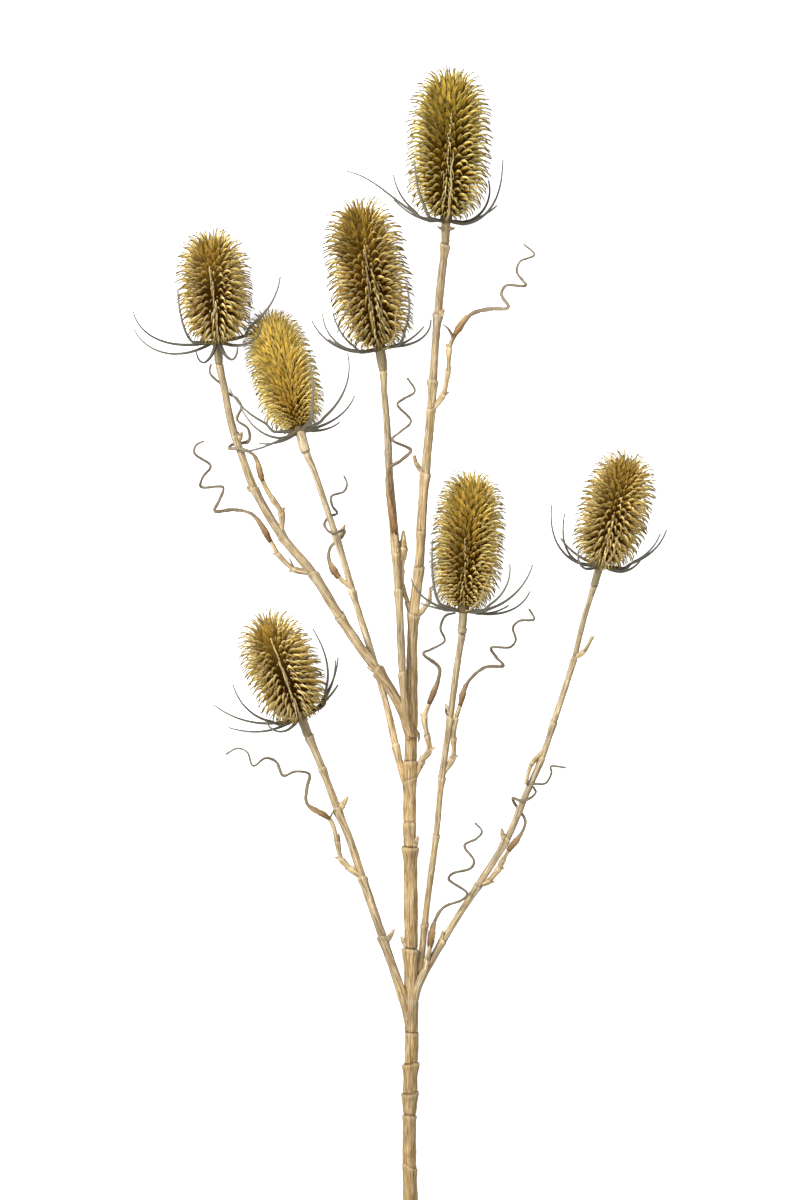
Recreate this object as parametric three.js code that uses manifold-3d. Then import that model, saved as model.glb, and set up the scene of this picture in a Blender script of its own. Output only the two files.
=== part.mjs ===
// A teasel spray: seven spiny seed heads on one branching stem, cut and laid down on a table.
// Millimetres, +Z up. The table is z = 0, the stem lies along +Y, and the origin is in the middle of the
// footprint.

import * as THREE from 'three';
import { mergeVertices } from 'three/addons/utils/BufferGeometryUtils.js';
import Module from 'manifold-3d';

const wasm = await Module();
wasm.setup();

// Clearance between pieces that touch, and the least height of a bract above the table.
const GAP = 0.35;
const TABLE_GAP = 0.3;

// Ringed joints of the stems: the stem swells toward the joint and steps back just past it.
const JOINT_SWELL = 1.32;
const JOINT_RUN = 8;
const JOINT_LIP = 0.8;
const STEM_STEP = 34;

// The neck under a head is thicker than its stem.
const NECK_LENGTH = 12;
const NECK_SWELL = 1.3;

// The disc between the stem and the head, measured down the head's axis from the foot of its core.
const DISC_FOOT = 5;
const DISC_WIDEST = 2.6;
const DISC_RADIUS = 4.4;
const DISC_FOOT_RADIUS = 2.6;
const DISC_TOP_RADIUS = 3.8;
const DISC_SIDES = 8;

// Spines stand on a staggered grid that wraps the core.
const SPINE_COLUMNS = 11;
const SPINE_ROWS = 11;
const ROW_SHIFT = 0.5;
const CORE_FIRST = 0.13;
const CORE_LAST = 0.95;
const CORE_SHARE = 0.6;
const CORE_ROUND = 0.62;
const CORE_END = 0.8;
const SPINE_SHANK = 0.18;
const SPINE_HOOK = 0.25;
const SPINE_HALF_WIDTH = 0.95;
const SPINE_BELLY = 0.5;
const APEX_SPINE = 5;

// A spine leaves the core tilted up from square and hooks back down, each by an angle in radians.
const SHANK_FOLLOW = 0.75;
const SHANK_LIFT = 0.42;
const SHANK_LEAST = 0.05;
const HOOK_FOLLOW = 0.7;
const HOOK_DROP = 0.35;
const HOOK_LEAST = -0.55;

// The space that the spine tips fill, for keeping bracts out of it.
const SPACE_FOOT = -4;
const SPACE_OVER_APEX = 7;
const SPACE_ROUND = 0.5;

// Bracts are tapered curved blades. They and the tendrils have a three-sided section.
const BLADE_SIDES = 3;
const BRACT_FOOT_RADIUS = 0.95;
const BRACT_TIP_RADIUS = 0.42;
const BRACT_STEPS = 5;
const BRACT_CLEARANCE = 2.2;
const BRACT_START = 2.4;
const BRACT_DROP = 3.2;
const BRACT_SUBSTEPS = 4;

// Sheaths and tendrils.
const SHEATH_GAP = 0.6;
const SHEATH_FOOT_RADIUS = 0.9;
const SHEATH_RADIUS = 1.45;
const SHOOT_TWIG_RADIUS = 1.15;
const TWIG_SIDES = 4;
const TENDRIL_RADIUS = 0.72;
const TENDRIL_TIP_RADIUS = 0.45;
const SHOOT_STEPS = 3;

const colours = { stem: 0xc0a478, head: 0x7c662b, bract: 0x6b6757, tendril: 0x8a7658 };

// Each stem runs from its root toward its head, and its neck then follows the head's axis. Joints are given
// by their y.
const stems = [
  {
    name: 'main',
    sides: 8,
    radius: [3.95, 2.1],
    path: [
      [6.6, -344, 3.9], [6.9, -233, 7.5], [6, -155, 9.5], [5.7, -95, 11.2], [6.6, -55, 12.6],
      [6.8, -29, 13.3], [7.6, 13, 14.5], [10.8, 45, 15.6], [13.2, 85, 16.6], [18.9, 141, 17.8],
      [21, 175, 18.4], [24.6, 217, 19],
    ],
    joints: [-314, -283, -272, -253, -233, -184, -124, -109, -83, -72, 17, 45, 66, 102, 141, 197],
  },
  {
    name: 'right',
    sides: 6,
    radius: [2.3, 1.9],
    path: [
      [7, -222, 10], [12.6, -203, 13.5], [20.4, -189, 14], [31.2, -171, 14], [47.4, -146, 13.5],
      [63.6, -119, 12.5], [74.4, -93, 12], [85.2, -68, 11.5], [91.8, -48, 11], [102.6, -14, 10],
      [109.8, 13, 9],
    ],
    joints: [-180, -146, -119, -48, -10],
  },
  {
    name: 'mid_right',
    sides: 6,
    radius: [1.8, 1.75],
    path: [
      [8, -216, 6.5], [12, -196, 7.5], [14.4, -170, 9], [17.4, -146, 10.5], [21.3, -116, 13],
      [24.6, -81, 15.5], [30, -45, 18.5], [34.2, -14, 21.8],
    ],
    joints: [-170, -116, -81, -45],
  },
  {
    name: 'left_low',
    sides: 6,
    radius: [2.2, 1.9],
    path: [
      [6, -227, 8], [1.2, -210, 9.5], [-7.2, -184, 10], [-19.8, -148, 10], [-30, -118, 9.5],
      [-37.2, -101, 9], [-47.4, -75, 8],
    ],
    joints: [-178, -142, -101, -76],
  },
  {
    name: 'left_top',
    sides: 6,
    radius: [2.9, 1.75],
    path: [
      [6.6, -58, 14], [0, -40, 17], [-12, -17.4, 18.5], [-22.2, -3.6, 18.5], [-37.2, 18.6, 17.5],
      [-51.6, 41, 16], [-71.4, 64.5, 14], [-88.2, 93, 12], [-96, 114, 11], [-102, 133, 10],
      [-106.2, 154, 9],
    ],
    joints: [-17, 16, 41, 65, 92, 125],
  },
  {
    name: 'centre',
    sides: 6,
    radius: [1.75, 1.7],
    path: [
      [5.4, -56, 16], [3.6, -43.8, 18.5], [1.6, -22, 20], [0.6, 1.2, 20.5], [-0.9, 31, 20],
      [-2.7, 55, 19], [-4.8, 79, 18], [-6.6, 103, 17], [-7.8, 130, 16], [-9.6, 152, 15],
    ],
    joints: [-18, 31],
  },
  {
    name: 'left_upper',
    sides: 6,
    radius: [1.9, 1.75],
    path: [
      [4, -86, 11], [0, -72.6, 10.5], [-4.8, -48, 10.5], [-10.2, -25.8, 10.5], [-17.4, -0.6, 12],
      [-23.4, 19.2, 15], [-29.4, 40.2, 19], [-37.2, 64.2, 24], [-43.8, 83.4, 28], [-52.2, 104.4, 32],
    ],
    joints: [-62, 31, 64],
  },
];

// Short twigs and buds: which stem they grow from, their radius at both ends, and their line.
const twigs = [
  { stem: 'main', radius: [1.3, 1], path: [[14, 101, 17], [9.6, 107.5, 18], [8.2, 112, 18.5]] },
  { stem: 'main', radius: [1.6, 1.2], path: [[8.5, 14, 14.5], [14.4, 20, 15], [17.8, 25.5, 15], [18, 32, 15]] },
  { stem: 'main', radius: [1.3, 1.3], path: [[7, 14, 14.5], [3.9, 24, 14.5], [3.3, 36, 14.5], [3.4, 50, 15]] },
  { stem: 'main', radius: [1.9, 0.5], path: [[3.4, 49, 15], [3.6, 57, 15.3], [2.2, 67, 15.5]] },
  { stem: 'main', radius: [1.5, 0.5], path: [[4.5, -184, 9.5], [0.6, -177.5, 11.5]] },
  { stem: 'main', radius: [1.5, 0.5], path: [[8, -124, 11], [10.8, -117, 12.5]] },
  { stem: 'right', radius: [1.4, 1], path: [[104, -10.5, 10], [110.6, -6, 11], [116, 3.5, 12]] },
  { stem: 'right', radius: [1.4, 0.5], path: [[62.5, -119, 13], [61, -112, 15]] },
  { stem: 'right', radius: [1.4, 0.9], path: [[86, -66, 12], [79, -74, 13.5], [75.5, -86, 14]] },
  { stem: 'left_low', radius: [1.5, 0.5], path: [[-37, -102, 9], [-31.2, -93, 10]] },
  { stem: 'left_top', radius: [1.4, 0.5], path: [[-97.8, 121, 11], [-94, 128.5, 9.5]] },
  { stem: 'left_upper', radius: [1.4, 0.5], path: [[-37.2, 63, 24], [-32.8, 70.5, 22.5]] },
  { stem: 'mid_right', radius: [1.3, 0.5], path: [[30, -46, 18.5], [27.4, -37, 19.5]] },
];

// Shoots: a twig up to the point numbered sheath, then a brown sheath over one span, then a curly tendril to
// the tip.
const shoots = [
  {
    stem: 'main',
    sheath: 4,
    path: [
      [19.5, 139, 18], [26, 148.8, 19], [28.8, 163, 20.5], [29.6, 176, 21.5], [32.6, 183.5, 22.5],
      [42, 196, 23], [53, 199.6, 20.5], [65, 200.4, 24], [60.8, 208.5, 21], [63.5, 213.6, 24],
      [75.4, 213.8, 22], [70.2, 222, 19.5], [72, 228, 22], [80.6, 232.2, 21], [74.4, 238.8, 19],
    ],
  },
  {
    stem: 'left_top',
    sheath: 3,
    path: [
      [-71.4, 64.5, 14], [-71.6, 78, 14.5], [-77, 86.5, 15], [-82.4, 96.5, 15], [-87.6, 112, 15.5],
      [-95.4, 116, 16], [-102.8, 116.4, 12], [-101, 119, 6], [-91.4, 121, 7.5], [-91.6, 128.4, 13],
      [-98, 133.6, 15], [-95.6, 141, 11], [-101, 148.4, 5.5], [-108, 155.4, 4], [-114.6, 162, 8],
      [-113.6, 168, 11],
    ],
  },
  {
    stem: 'left_top',
    sheath: 3,
    path: [
      [-52.5, 41.5, 16], [-63.6, 43.8, 14], [-73.2, 52.8, 12.5], [-77.6, 60, 12], [-88.6, 76.6, 12],
      [-100, 79.6, 9], [-111.4, 78.8, 12.5], [-109, 85, 9], [-106.4, 93, 13], [-120, 93.4, 10],
      [-118.4, 99.4, 13.5], [-114, 106, 10], [-123.6, 113.4, 13], [-122.6, 118.6, 10], [-117, 121.2, 11],
    ],
  },
  {
    stem: 'left_upper',
    sheath: 1,
    path: [
      [-28, 32, 17.5], [-36.4, 38.6, 18], [-42.6, 49.6, 18.5], [-41.6, 57, 17.5], [-34.4, 63.4, 18.5],
      [-34, 67, 26.5], [-40.4, 65, 30], [-45.4, 70.4, 25], [-42, 75.4, 21], [-37.6, 77, 24.5],
      [-40.4, 81.4, 32.5], [-41, 87, 34], [-33.6, 90, 31], [-31.6, 94.6, 34], [-33.6, 99.4, 32],
    ],
  },
  {
    stem: 'centre',
    sheath: 2,
    path: [
      [-1.8, 43, 19.5], [-2, 54, 22], [-3, 64, 23.5], [-6.8, 103, 22.2], [0.6, 109, 19], [6.6, 115.2, 16],
      [-4.6, 121.4, 21.5], [0.6, 126.4, 19], [6.6, 132.6, 16], [-1.6, 142.6, 21.5], [2.4, 146, 19],
      [9, 150.6, 16.5], [4, 159, 19],
    ],
  },
  {
    stem: 'mid_right',
    sheath: 4,
    path: [
      [24.6, -81, 15.5], [31.6, -69.6, 16], [32.2, -57, 17.5], [33.6, -46, 18.5], [36, -38.4, 19],
      [40.6, -24.4, 20], [51, -15.2, 23], [62, -14.2, 20], [58, -9.4, 17], [54.6, -3.4, 20], [66, -3, 23],
      [69.4, 1.2, 20], [67.8, 8.6, 17], [71.6, 12.6, 20], [80.6, 13.6, 18], [77.4, 20, 16],
    ],
  },
  {
    stem: 'main',
    sheath: 5,
    path: [
      [8, -84, 11.8], [13.4, -71.4, 12.5], [17.6, -65, 13], [16.2, -55.8, 13], [14.8, -45.4, 13],
      [17.4, -37.6, 13], [23, -23, 13.5], [23.6, -15.6, 12], [14, -7, 15], [19, -4.4, 12], [27, 0.6, 10],
      [24.4, 8, 13], [27.4, 15.6, 10.5], [34, 17.6, 12],
    ],
  },
  {
    stem: 'right',
    sheath: 4,
    path: [
      [47.4, -146, 13.5], [53.4, -143.6, 13.5], [59.4, -136.6, 13.5], [62, -131, 13.5],
      [64.8, -126, 13.5], [73.4, -114.6, 13], [75.4, -107.6, 10], [70, -99, 5.5], [67.8, -94.2, 10],
      [74.6, -95.4, 17.5], [81.6, -90.6, 15], [79.6, -85.6, 17.6], [87.4, -85, 15], [91.2, -78.6, 11],
      [90.6, -75, 13.5], [100.2, -75.6, 16],
    ],
  },
  {
    stem: 'right',
    sheath: 2,
    path: [
      [15.4, -198, 14], [16.4, -191, 16], [18, -183.6, 17], [21, -167.2, 18.5], [26.4, -159, 20],
      [37, -154.8, 21], [40.4, -151, 20], [29.2, -142.6, 15.5], [31, -139.4, 17], [42.6, -135.6, 20],
      [44.4, -131.4, 18], [38.8, -122.4, 15.5], [46.2, -118, 18], [49.2, -113.6, 20], [44.4, -108, 17],
    ],
  },
  {
    stem: 'left_low',
    sheath: 4,
    path: [
      [-21, -143, 10], [-30, -136.4, 10], [-35.6, -130.4, 10], [-38, -120, 10], [-42.4, -107, 10.5],
      [-56, -97.4, 11], [-56, -88, 8.5], [-54.6, -79.6, 11.5], [-63, -78, 14], [-70.4, -80.6, 11],
      [-74.6, -72.4, 8.5], [-81, -70, 11], [-88.4, -74.6, 14], [-92, -66.4, 11.5], [-98, -64.2, 9],
      [-105, -67.8, 11],
    ],
  },
];

// Heads: the foot of the disc, the turn right of +Y in plan, the lean up from the table, the core's length
// and the reach of the spine tips. Bracts: azimuth about the head (0 right, 90 up, 180 left), length, and
// the angle from the head's axis at the foot, half way along and at the tip.
const heads = [
  {
    name: 'top',
    stem: 'main',
    base: [27.6, 250.5, 19.8],
    turn: 2,
    lean: 5,
    length: 80,
    reach: 24,
    bracts: [
      [180, 66, 82, 50, 82], [168, 44, 88, 48, 10], [130, 50, 88, 35, 5], [5, 60, 97, 48, -8],
      [-14, 46, 99, 60, -10], [86, 54, 84, 30, 4], [212, 38, 96, 70, 50], [328, 36, 96, 72, 50],
    ],
  },
  {
    name: 'left_top',
    stem: 'left_top',
    base: [-109.6, 178.5, 12.2],
    turn: -2.6,
    lean: 22,
    length: 59,
    reach: 21,
    bracts: [
      [186, 56, 122, 82, 26], [172, 46, 96, 84, 44], [158, 46, 76, 25, -12], [14, 56, 62, 46, 18],
      [38, 44, 94, 62, -4], [66, 36, 132, 80, 12], [112, 36, 132, 84, 10], [330, 30, 98, 82, 60],
    ],
  },
  {
    name: 'left_upper',
    stem: 'left_upper',
    base: [-59.2, 124, 30.4],
    turn: -16,
    lean: -13,
    length: 67,
    reach: 19.4,
    bracts: [
      [172, 50, 66, 42, 8], [192, 36, 96, 92, 72], [152, 46, 120, 50, 4], [52, 44, 80, 34, 8],
      [6, 58, 82, 46, 0], [-12, 40, 92, 70, 34], [-30, 26, 99, 86, 60], [214, 30, 100, 80, 60],
    ],
  },
  {
    name: 'centre',
    stem: 'centre',
    base: [-11.8, 174, 15.3],
    turn: -9,
    lean: 10,
    length: 79,
    reach: 21.8,
    bracts: [
      [184, 46, 97, 56, 14], [166, 46, 96, 46, -8], [148, 42, 92, 40, 6], [-2, 37, 90, 76, 0],
      [34, 50, 82, 28, -10], [64, 42, 86, 44, 4], [210, 34, 98, 74, 52], [330, 32, 98, 76, 54],
    ],
  },
  {
    name: 'mid_right',
    stem: 'mid_right',
    base: [37.8, 16.5, 23.2],
    turn: 3.8,
    lean: -4,
    length: 74,
    reach: 20.8,
    bracts: [
      [188, 24, 92, 82, 74], [172, 38, 88, 62, 16], [158, 50, 82, 16, -2], [-10, 42, 95, 80, 42],
      [8, 48, 87, 56, 28], [24, 44, 86, 42, -14], [62, 36, 90, 48, 16], [326, 32, 98, 78, 56],
    ],
  },
  {
    name: 'right',
    stem: 'right',
    base: [119.6, 44, 12.1],
    turn: 14.6,
    lean: 19,
    length: 62,
    reach: 20,
    bracts: [
      [182, 54, 93, 48, 10], [166, 44, 86, 43, 14], [128, 30, 112, 60, 10], [0, 46, 76, 44, 6],
      [16, 43, 72, 42, 12], [-38, 32, 114, 86, 16], [212, 30, 98, 80, 58], [80, 44, 88, 36, 4],
    ],
  },
  {
    name: 'left_low',
    stem: 'left_low',
    base: [-58.8, -47, 11.2],
    turn: -20.4,
    lean: 23,
    length: 59,
    reach: 20,
    bracts: [
      [168, 50, 70, 30, 0], [188, 54, 93, 60, 28], [204, 36, 106, 80, 60], [122, 36, 132, 82, 14],
      [18, 54, 64, 20, -4], [2, 42, 82, 44, 18], [-16, 42, 84, 52, 24], [330, 30, 98, 82, 60],
    ],
  },
];

function curveThrough(points) {
  const through = points.map((point) => new THREE.Vector3(...point));
  return new THREE.CatmullRomCurve3(through, false, 'centripetal');
}

// A closed tube through samples of { point, radius }, with flat ends.
function sweptTube(samples, sides) {
  const positions = [];
  const indices = [];
  const normal = new THREE.Vector3(0, 0, 1);
  samples.forEach(({ point, radius }, row) => {
    const before = samples[Math.max(row - 1, 0)].point;
    const after = samples[Math.min(row + 1, samples.length - 1)].point;
    const tangent = after.clone().sub(before).normalize();
    normal.addScaledVector(tangent, -normal.dot(tangent)).normalize();
    const binormal = tangent.clone().cross(normal);
    for (let side = 0; side < sides; side++) {
      const angle = (side / sides) * 2 * Math.PI;
      const corner = point.clone().addScaledVector(normal, radius * Math.cos(angle));
      corner.addScaledVector(binormal, radius * Math.sin(angle));
      positions.push(...corner);
    }
  });
  const last = samples.length - 1;
  const foot = positions.length / 3;
  positions.push(...samples[0].point, ...samples[last].point);
  for (let side = 0; side < sides; side++) {
    const next = (side + 1) % sides;
    for (let row = 0; row < last; row++) {
      const low = row * sides;
      const high = low + sides;
      indices.push(low + side, low + next, high + next, low + side, high + next, high + side);
    }
    indices.push(foot, next, side, foot + 1, last * sides + side, last * sides + next);
  }
  return meshGeometry(positions, indices);
}

function meshGeometry(positions, indices) {
  const geometry = new THREE.BufferGeometry();
  geometry.setAttribute('position', new THREE.Float32BufferAttribute(positions, 3));
  geometry.setIndex(indices);
  return geometry;
}

function solidFrom(geometry) {
  const bare = geometry.clone();
  bare.deleteAttribute('normal');
  bare.deleteAttribute('uv');
  const merged = mergeVertices(bare);
  const vertProperties = new Float32Array(merged.attributes.position.array);
  const triVerts = new Uint32Array(merged.index.array);
  return new wasm.Manifold(new wasm.Mesh({ numProp: 3, vertProperties, triVerts }));
}

// The largest body of a solid, as a geometry.
function geometryFrom(solid) {
  const bodies = solid.decompose();
  const body = bodies.reduce((best, other) => (other.volume() > best.volume() ? other : best));
  const { vertProperties, triVerts } = body.getMesh();
  return meshGeometry(vertProperties, [...triVerts]);
}

function parameterAtY(curve, y) {
  let low = 0;
  let high = 1;
  for (let halving = 0; halving < 30; halving++) {
    const middle = (low + high) / 2;
    if (curve.getPointAt(middle).y < y) low = middle;
    else high = middle;
  }
  return low;
}

// Samples along a stem, with a swelling at each joint and a thicker neck at the top.
function stemSamples(stem, extra) {
  const head = heads.find(({ stem: name }) => name === stem.name);
  const neckFoot = new THREE.Vector3(...head.base).addScaledVector(headFrame(head).axis, -NECK_LENGTH);
  const curve = curveThrough([...stem.path, neckFoot, head.base]);
  const length = curve.getLength();
  const plain = (t) => THREE.MathUtils.lerp(stem.radius[0], stem.radius[1], t);
  const neck = 1 - NECK_LENGTH / length;
  const joints = stem.joints.map((y) => parameterAtY(curve, y));
  const stations = [[neck - JOINT_LIP / length, 1], [neck, NECK_SWELL], [1, NECK_SWELL]];
  for (const joint of joints) {
    stations.push([joint - JOINT_RUN / length, 1], [joint, JOINT_SWELL], [joint + JOINT_LIP / length, 1]);
  }
  const steps = Math.ceil(length / STEM_STEP);
  for (let step = 0; step < steps; step++) {
    const t = step / steps;
    const clear = [...joints, neck].every((joint) => Math.abs(joint - t) * length > JOINT_RUN + JOINT_LIP);
    if (clear) stations.push([t, 1]);
  }
  stations.sort((one, other) => one[0] - other[0]);
  const apart = (index) => (stations[index][0] - stations[index - 1][0]) * length > JOINT_LIP / 2;
  const spread = stations.filter((_, index) => index === 0 || apart(index));
  return spread.map(([t, swell]) => ({ point: curve.getPointAt(t), radius: plain(t) * swell + extra }));
}

function twigSamples(twig) {
  const curve = curveThrough(twig.path);
  const steps = twig.path.length;
  return Array.from({ length: steps + 1 }, (_, step) => {
    const t = step / steps;
    return { point: curve.getPoint(t), radius: THREE.MathUtils.lerp(twig.radius[0], twig.radius[1], t) };
  });
}

// The twig that carries a shoot, up to its sheath.
function shootTwigSamples(shoot) {
  const curve = curveThrough(shoot.path);
  const spans = shoot.path.length - 1;
  const steps = shoot.sheath + 2;
  return Array.from({ length: steps + 1 }, (_, step) => ({
    point: curve.getPoint((step / steps) * (shoot.sheath / spans)),
    radius: SHOOT_TWIG_RADIUS,
  }));
}

// The sheath and the tendril of a shoot, one tapered tube.
function tendrilSamples(shoot) {
  const curve = curveThrough(shoot.path);
  const spans = shoot.path.length - 1;
  const sheathEnd = shoot.sheath + 1;
  const firstSpan = shoot.path[shoot.sheath].map((value, axis) => shoot.path[sheathEnd][axis] - value);
  const start = shoot.sheath + SHEATH_GAP / Math.hypot(...firstSpan);
  const steps = (spans - shoot.sheath) * SHOOT_STEPS;
  return Array.from({ length: steps + 1 }, (_, step) => {
    const place = Math.max(start, shoot.sheath + step / SHOOT_STEPS);
    const along = (place - sheathEnd) / (spans - sheathEnd);
    if (step === 0) return { point: curve.getPoint(place / spans), radius: SHEATH_FOOT_RADIUS };
    const radius = place < sheathEnd
      ? THREE.MathUtils.lerp(SHEATH_RADIUS, TENDRIL_RADIUS, (place - shoot.sheath) ** 2)
      : THREE.MathUtils.lerp(TENDRIL_RADIUS, TENDRIL_TIP_RADIUS, along);
    return { point: curve.getPoint(place / spans), radius };
  });
}

// The head's own directions: along its axis, to its right, and up from the table.
function headFrame(head) {
  const turn = THREE.MathUtils.degToRad(head.turn);
  const lean = THREE.MathUtils.degToRad(head.lean);
  const flat = Math.cos(lean);
  const axis = new THREE.Vector3(Math.sin(turn) * flat, Math.cos(turn) * flat, Math.sin(lean));
  const right = axis.clone().cross(new THREE.Vector3(0, 0, 1)).normalize();
  const up = right.clone().cross(axis);
  const foot = new THREE.Vector3(...head.base).addScaledVector(axis, DISC_FOOT + GAP);
  const at = (radius, angle, height) => foot.clone()
    .addScaledVector(right, radius * Math.cos(angle))
    .addScaledVector(up, radius * Math.sin(angle))
    .addScaledVector(axis, height);
  return { axis, right, up, foot, at };
}

// Radius and height of the core at a share of the way round its outline from foot to apex.
function coreOutline(head, share) {
  const turn = share * Math.PI;
  const radius = head.reach * CORE_SHARE * Math.sin(turn) ** CORE_ROUND;
  const rise = Math.sign(Math.cos(turn)) * Math.abs(Math.cos(turn)) ** CORE_END;
  return { radius, height: (head.length / 2) * (1 - rise) };
}

// How steeply the outline faces up at a share of the way round it.
function coreFacing(head, share) {
  const step = 0.01;
  const below = coreOutline(head, share - step);
  const above = coreOutline(head, share + step);
  return Math.atan2(below.radius - above.radius, above.height - below.height);
}

// Radius that the spine tips reach at a height up the head.
function spineReach(head, height) {
  const high = head.length + SPACE_OVER_APEX;
  if (height < SPACE_FOOT || height > high) return 0;
  const turn = Math.acos(1 - (2 * (height - SPACE_FOOT)) / (high - SPACE_FOOT));
  return head.reach * Math.sin(turn) ** SPACE_ROUND;
}

// One head: a core whose every cell is drawn out into a recurved spine.
function headGeometry(head) {
  const { at } = headFrame(head);
  const positions = [];
  const indices = [];
  const add = (radius, angle, height) => positions.push(...at(radius, angle, height)) / 3 - 1;
  const pitch = (2 * Math.PI) / SPINE_COLUMNS;
  const shareAt = (row) => THREE.MathUtils.lerp(CORE_FIRST, CORE_LAST, row / SPINE_ROWS);
  for (let row = 0; row <= SPINE_ROWS; row++) {
    const { radius, height } = coreOutline(head, shareAt(row));
    for (let column = 0; column < SPINE_COLUMNS; column++) {
      add(radius, (column + row * ROW_SHIFT) * pitch, height);
    }
  }
  const corner = (column, row) => row * SPINE_COLUMNS + (column % SPINE_COLUMNS);
  for (let row = 0; row < SPINE_ROWS; row++) {
    const share = shareAt(row + 0.5);
    const { radius, height } = coreOutline(head, share);
    const facing = coreFacing(head, share);
    const shankTilt = Math.max(SHANK_FOLLOW * facing + SHANK_LIFT, SHANK_LEAST);
    const hookTilt = Math.max(HOOK_FOLLOW * facing - HOOK_DROP, HOOK_LEAST);
    const shank = head.reach * SPINE_SHANK;
    const hook = head.reach * SPINE_HOOK;
    const neckRadius = radius + shank * Math.cos(shankTilt);
    const neckHeight = height + shank * Math.sin(shankTilt);
    const tipRadius = neckRadius + hook * Math.cos(hookTilt);
    const tipHeight = neckHeight + hook * Math.sin(hookTilt);
    const backRadius = neckRadius - SPINE_HALF_WIDTH * Math.sin(shankTilt);
    const backHeight = neckHeight + SPINE_HALF_WIDTH * Math.cos(shankTilt);
    const bellyRadius = neckRadius + SPINE_BELLY * SPINE_HALF_WIDTH * Math.sin(shankTilt);
    const bellyHeight = neckHeight - SPINE_BELLY * SPINE_HALF_WIDTH * Math.cos(shankTilt);
    for (let column = 0; column < SPINE_COLUMNS; column++) {
      const angle = (column + 0.5 + (row + 0.5) * ROW_SHIFT) * pitch;
      const spread = SPINE_HALF_WIDTH / neckRadius;
      const belly = add(bellyRadius, angle - spread, bellyHeight);
      add(bellyRadius, angle + spread, bellyHeight);
      add(backRadius, angle, backHeight);
      add(tipRadius, angle, tipHeight);
      const [bellyNext, back, tip] = [belly + 1, belly + 2, belly + 3];
      const [lowNear, lowFar] = [corner(column, row), corner(column + 1, row)];
      const [highNear, highFar] = [corner(column, row + 1), corner(column + 1, row + 1)];
      indices.push(lowFar, lowNear, belly, lowFar, belly, bellyNext);
      indices.push(lowNear, highNear, belly, highNear, back, belly);
      indices.push(highFar, lowFar, bellyNext, highFar, bellyNext, back);
      indices.push(highNear, highFar, back);
      indices.push(bellyNext, belly, tip, belly, back, tip, back, bellyNext, tip);
    }
  }
  const foot = add(0, 0, 0);
  const apex = add(0, 0, head.length + APEX_SPINE);
  for (let column = 0; column < SPINE_COLUMNS; column++) {
    indices.push(foot, corner(column, 0), corner(column + 1, 0));
    indices.push(apex, corner(column + 1, SPINE_ROWS), corner(column, SPINE_ROWS));
  }
  return meshGeometry(positions, indices);
}

// Samples along one bract, kept clear of the spines of its own head and of the table.
function bractSamples(head, [azimuth, length, footAngle, midAngle, tipAngle]) {
  const { axis, right, up, foot, at } = headFrame(head);
  const angle = THREE.MathUtils.degToRad(azimuth);
  const outward = right.clone().multiplyScalar(Math.cos(angle)).addScaledVector(up, Math.sin(angle));
  const place = at(BRACT_START, angle, -BRACT_DROP);
  const samples = [];
  const pieces = BRACT_STEPS * BRACT_SUBSTEPS;
  for (let piece = 0; piece <= pieces; piece++) {
    const t = piece / pieces;
    const bend = footAngle * (1 - t) * (1 - 2 * t) + midAngle * 4 * t * (1 - t) + tipAngle * t * (2 * t - 1);
    const heading = THREE.MathUtils.degToRad(bend);
    if (piece % BRACT_SUBSTEPS === 0) {
      const radius = THREE.MathUtils.lerp(BRACT_FOOT_RADIUS, BRACT_TIP_RADIUS, t);
      const offset = place.clone().sub(foot);
      const height = offset.dot(axis);
      const radial = offset.addScaledVector(axis, -height);
      const room = piece === 0 ? 0 : spineReach(head, height) + BRACT_CLEARANCE;
      if (radial.length() < room) radial.setLength(room);
      const point = foot.clone().addScaledVector(axis, height).add(radial);
      point.z = Math.max(point.z, radius + TABLE_GAP);
      samples.push({ point, radius });
    }
    place.addScaledVector(axis, (Math.cos(heading) * length) / pieces);
    place.addScaledVector(outward, (Math.sin(heading) * length) / pieces);
  }
  return samples;
}

// The disc under a head, turned about the head's axis.
function discGeometry(head) {
  const { axis, at } = headFrame(head);
  const outline = [
    new THREE.Vector2(0, -DISC_FOOT),
    new THREE.Vector2(DISC_FOOT_RADIUS, -DISC_FOOT),
    new THREE.Vector2(DISC_RADIUS, -DISC_WIDEST),
    new THREE.Vector2(DISC_TOP_RADIUS, -GAP),
    new THREE.Vector2(0, -GAP),
  ];
  const geometry = new THREE.LatheGeometry(outline, DISC_SIDES);
  geometry.applyQuaternion(new THREE.Quaternion().setFromUnitVectors(new THREE.Vector3(0, 1, 0), axis));
  geometry.translate(...at(0, 0, 0));
  return geometry;
}

const table = new THREE.BoxGeometry(1000, 1000, 40);
table.translate(0, 0, -20);
const tableSolid = solidFrom(table);

function pieceMesh(name, solid, colour) {
  const geometry = geometryFrom(solid);
  geometry.computeVertexNormals();
  const material = new THREE.MeshStandardMaterial({ color: colour, roughness: 0.8, metalness: 0 });
  const mesh = new THREE.Mesh(geometry, material);
  mesh.name = name;
  return mesh;
}

const spray = new THREE.Group();

// Each stem is fused with its twigs and trimmed clear of the stems that it grows from or lies against.
const grown = [];
for (const stem of stems) {
  const ownTwigs = [
    ...twigs.filter((twig) => twig.stem === stem.name).map(twigSamples),
    ...shoots.filter((shoot) => shoot.stem === stem.name).map(shootTwigSamples),
  ];
  let solid = solidFrom(sweptTube(stemSamples(stem, 0), stem.sides));
  for (const samples of ownTwigs) solid = solid.add(solidFrom(sweptTube(samples, TWIG_SIDES)));
  for (const other of grown) solid = solid.subtract(other);
  grown.push(solidFrom(sweptTube(stemSamples(stem, GAP), stem.sides)));
  spray.add(pieceMesh(`stem_${stem.name}`, solid.subtract(tableSolid), colours.stem));
}

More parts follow.
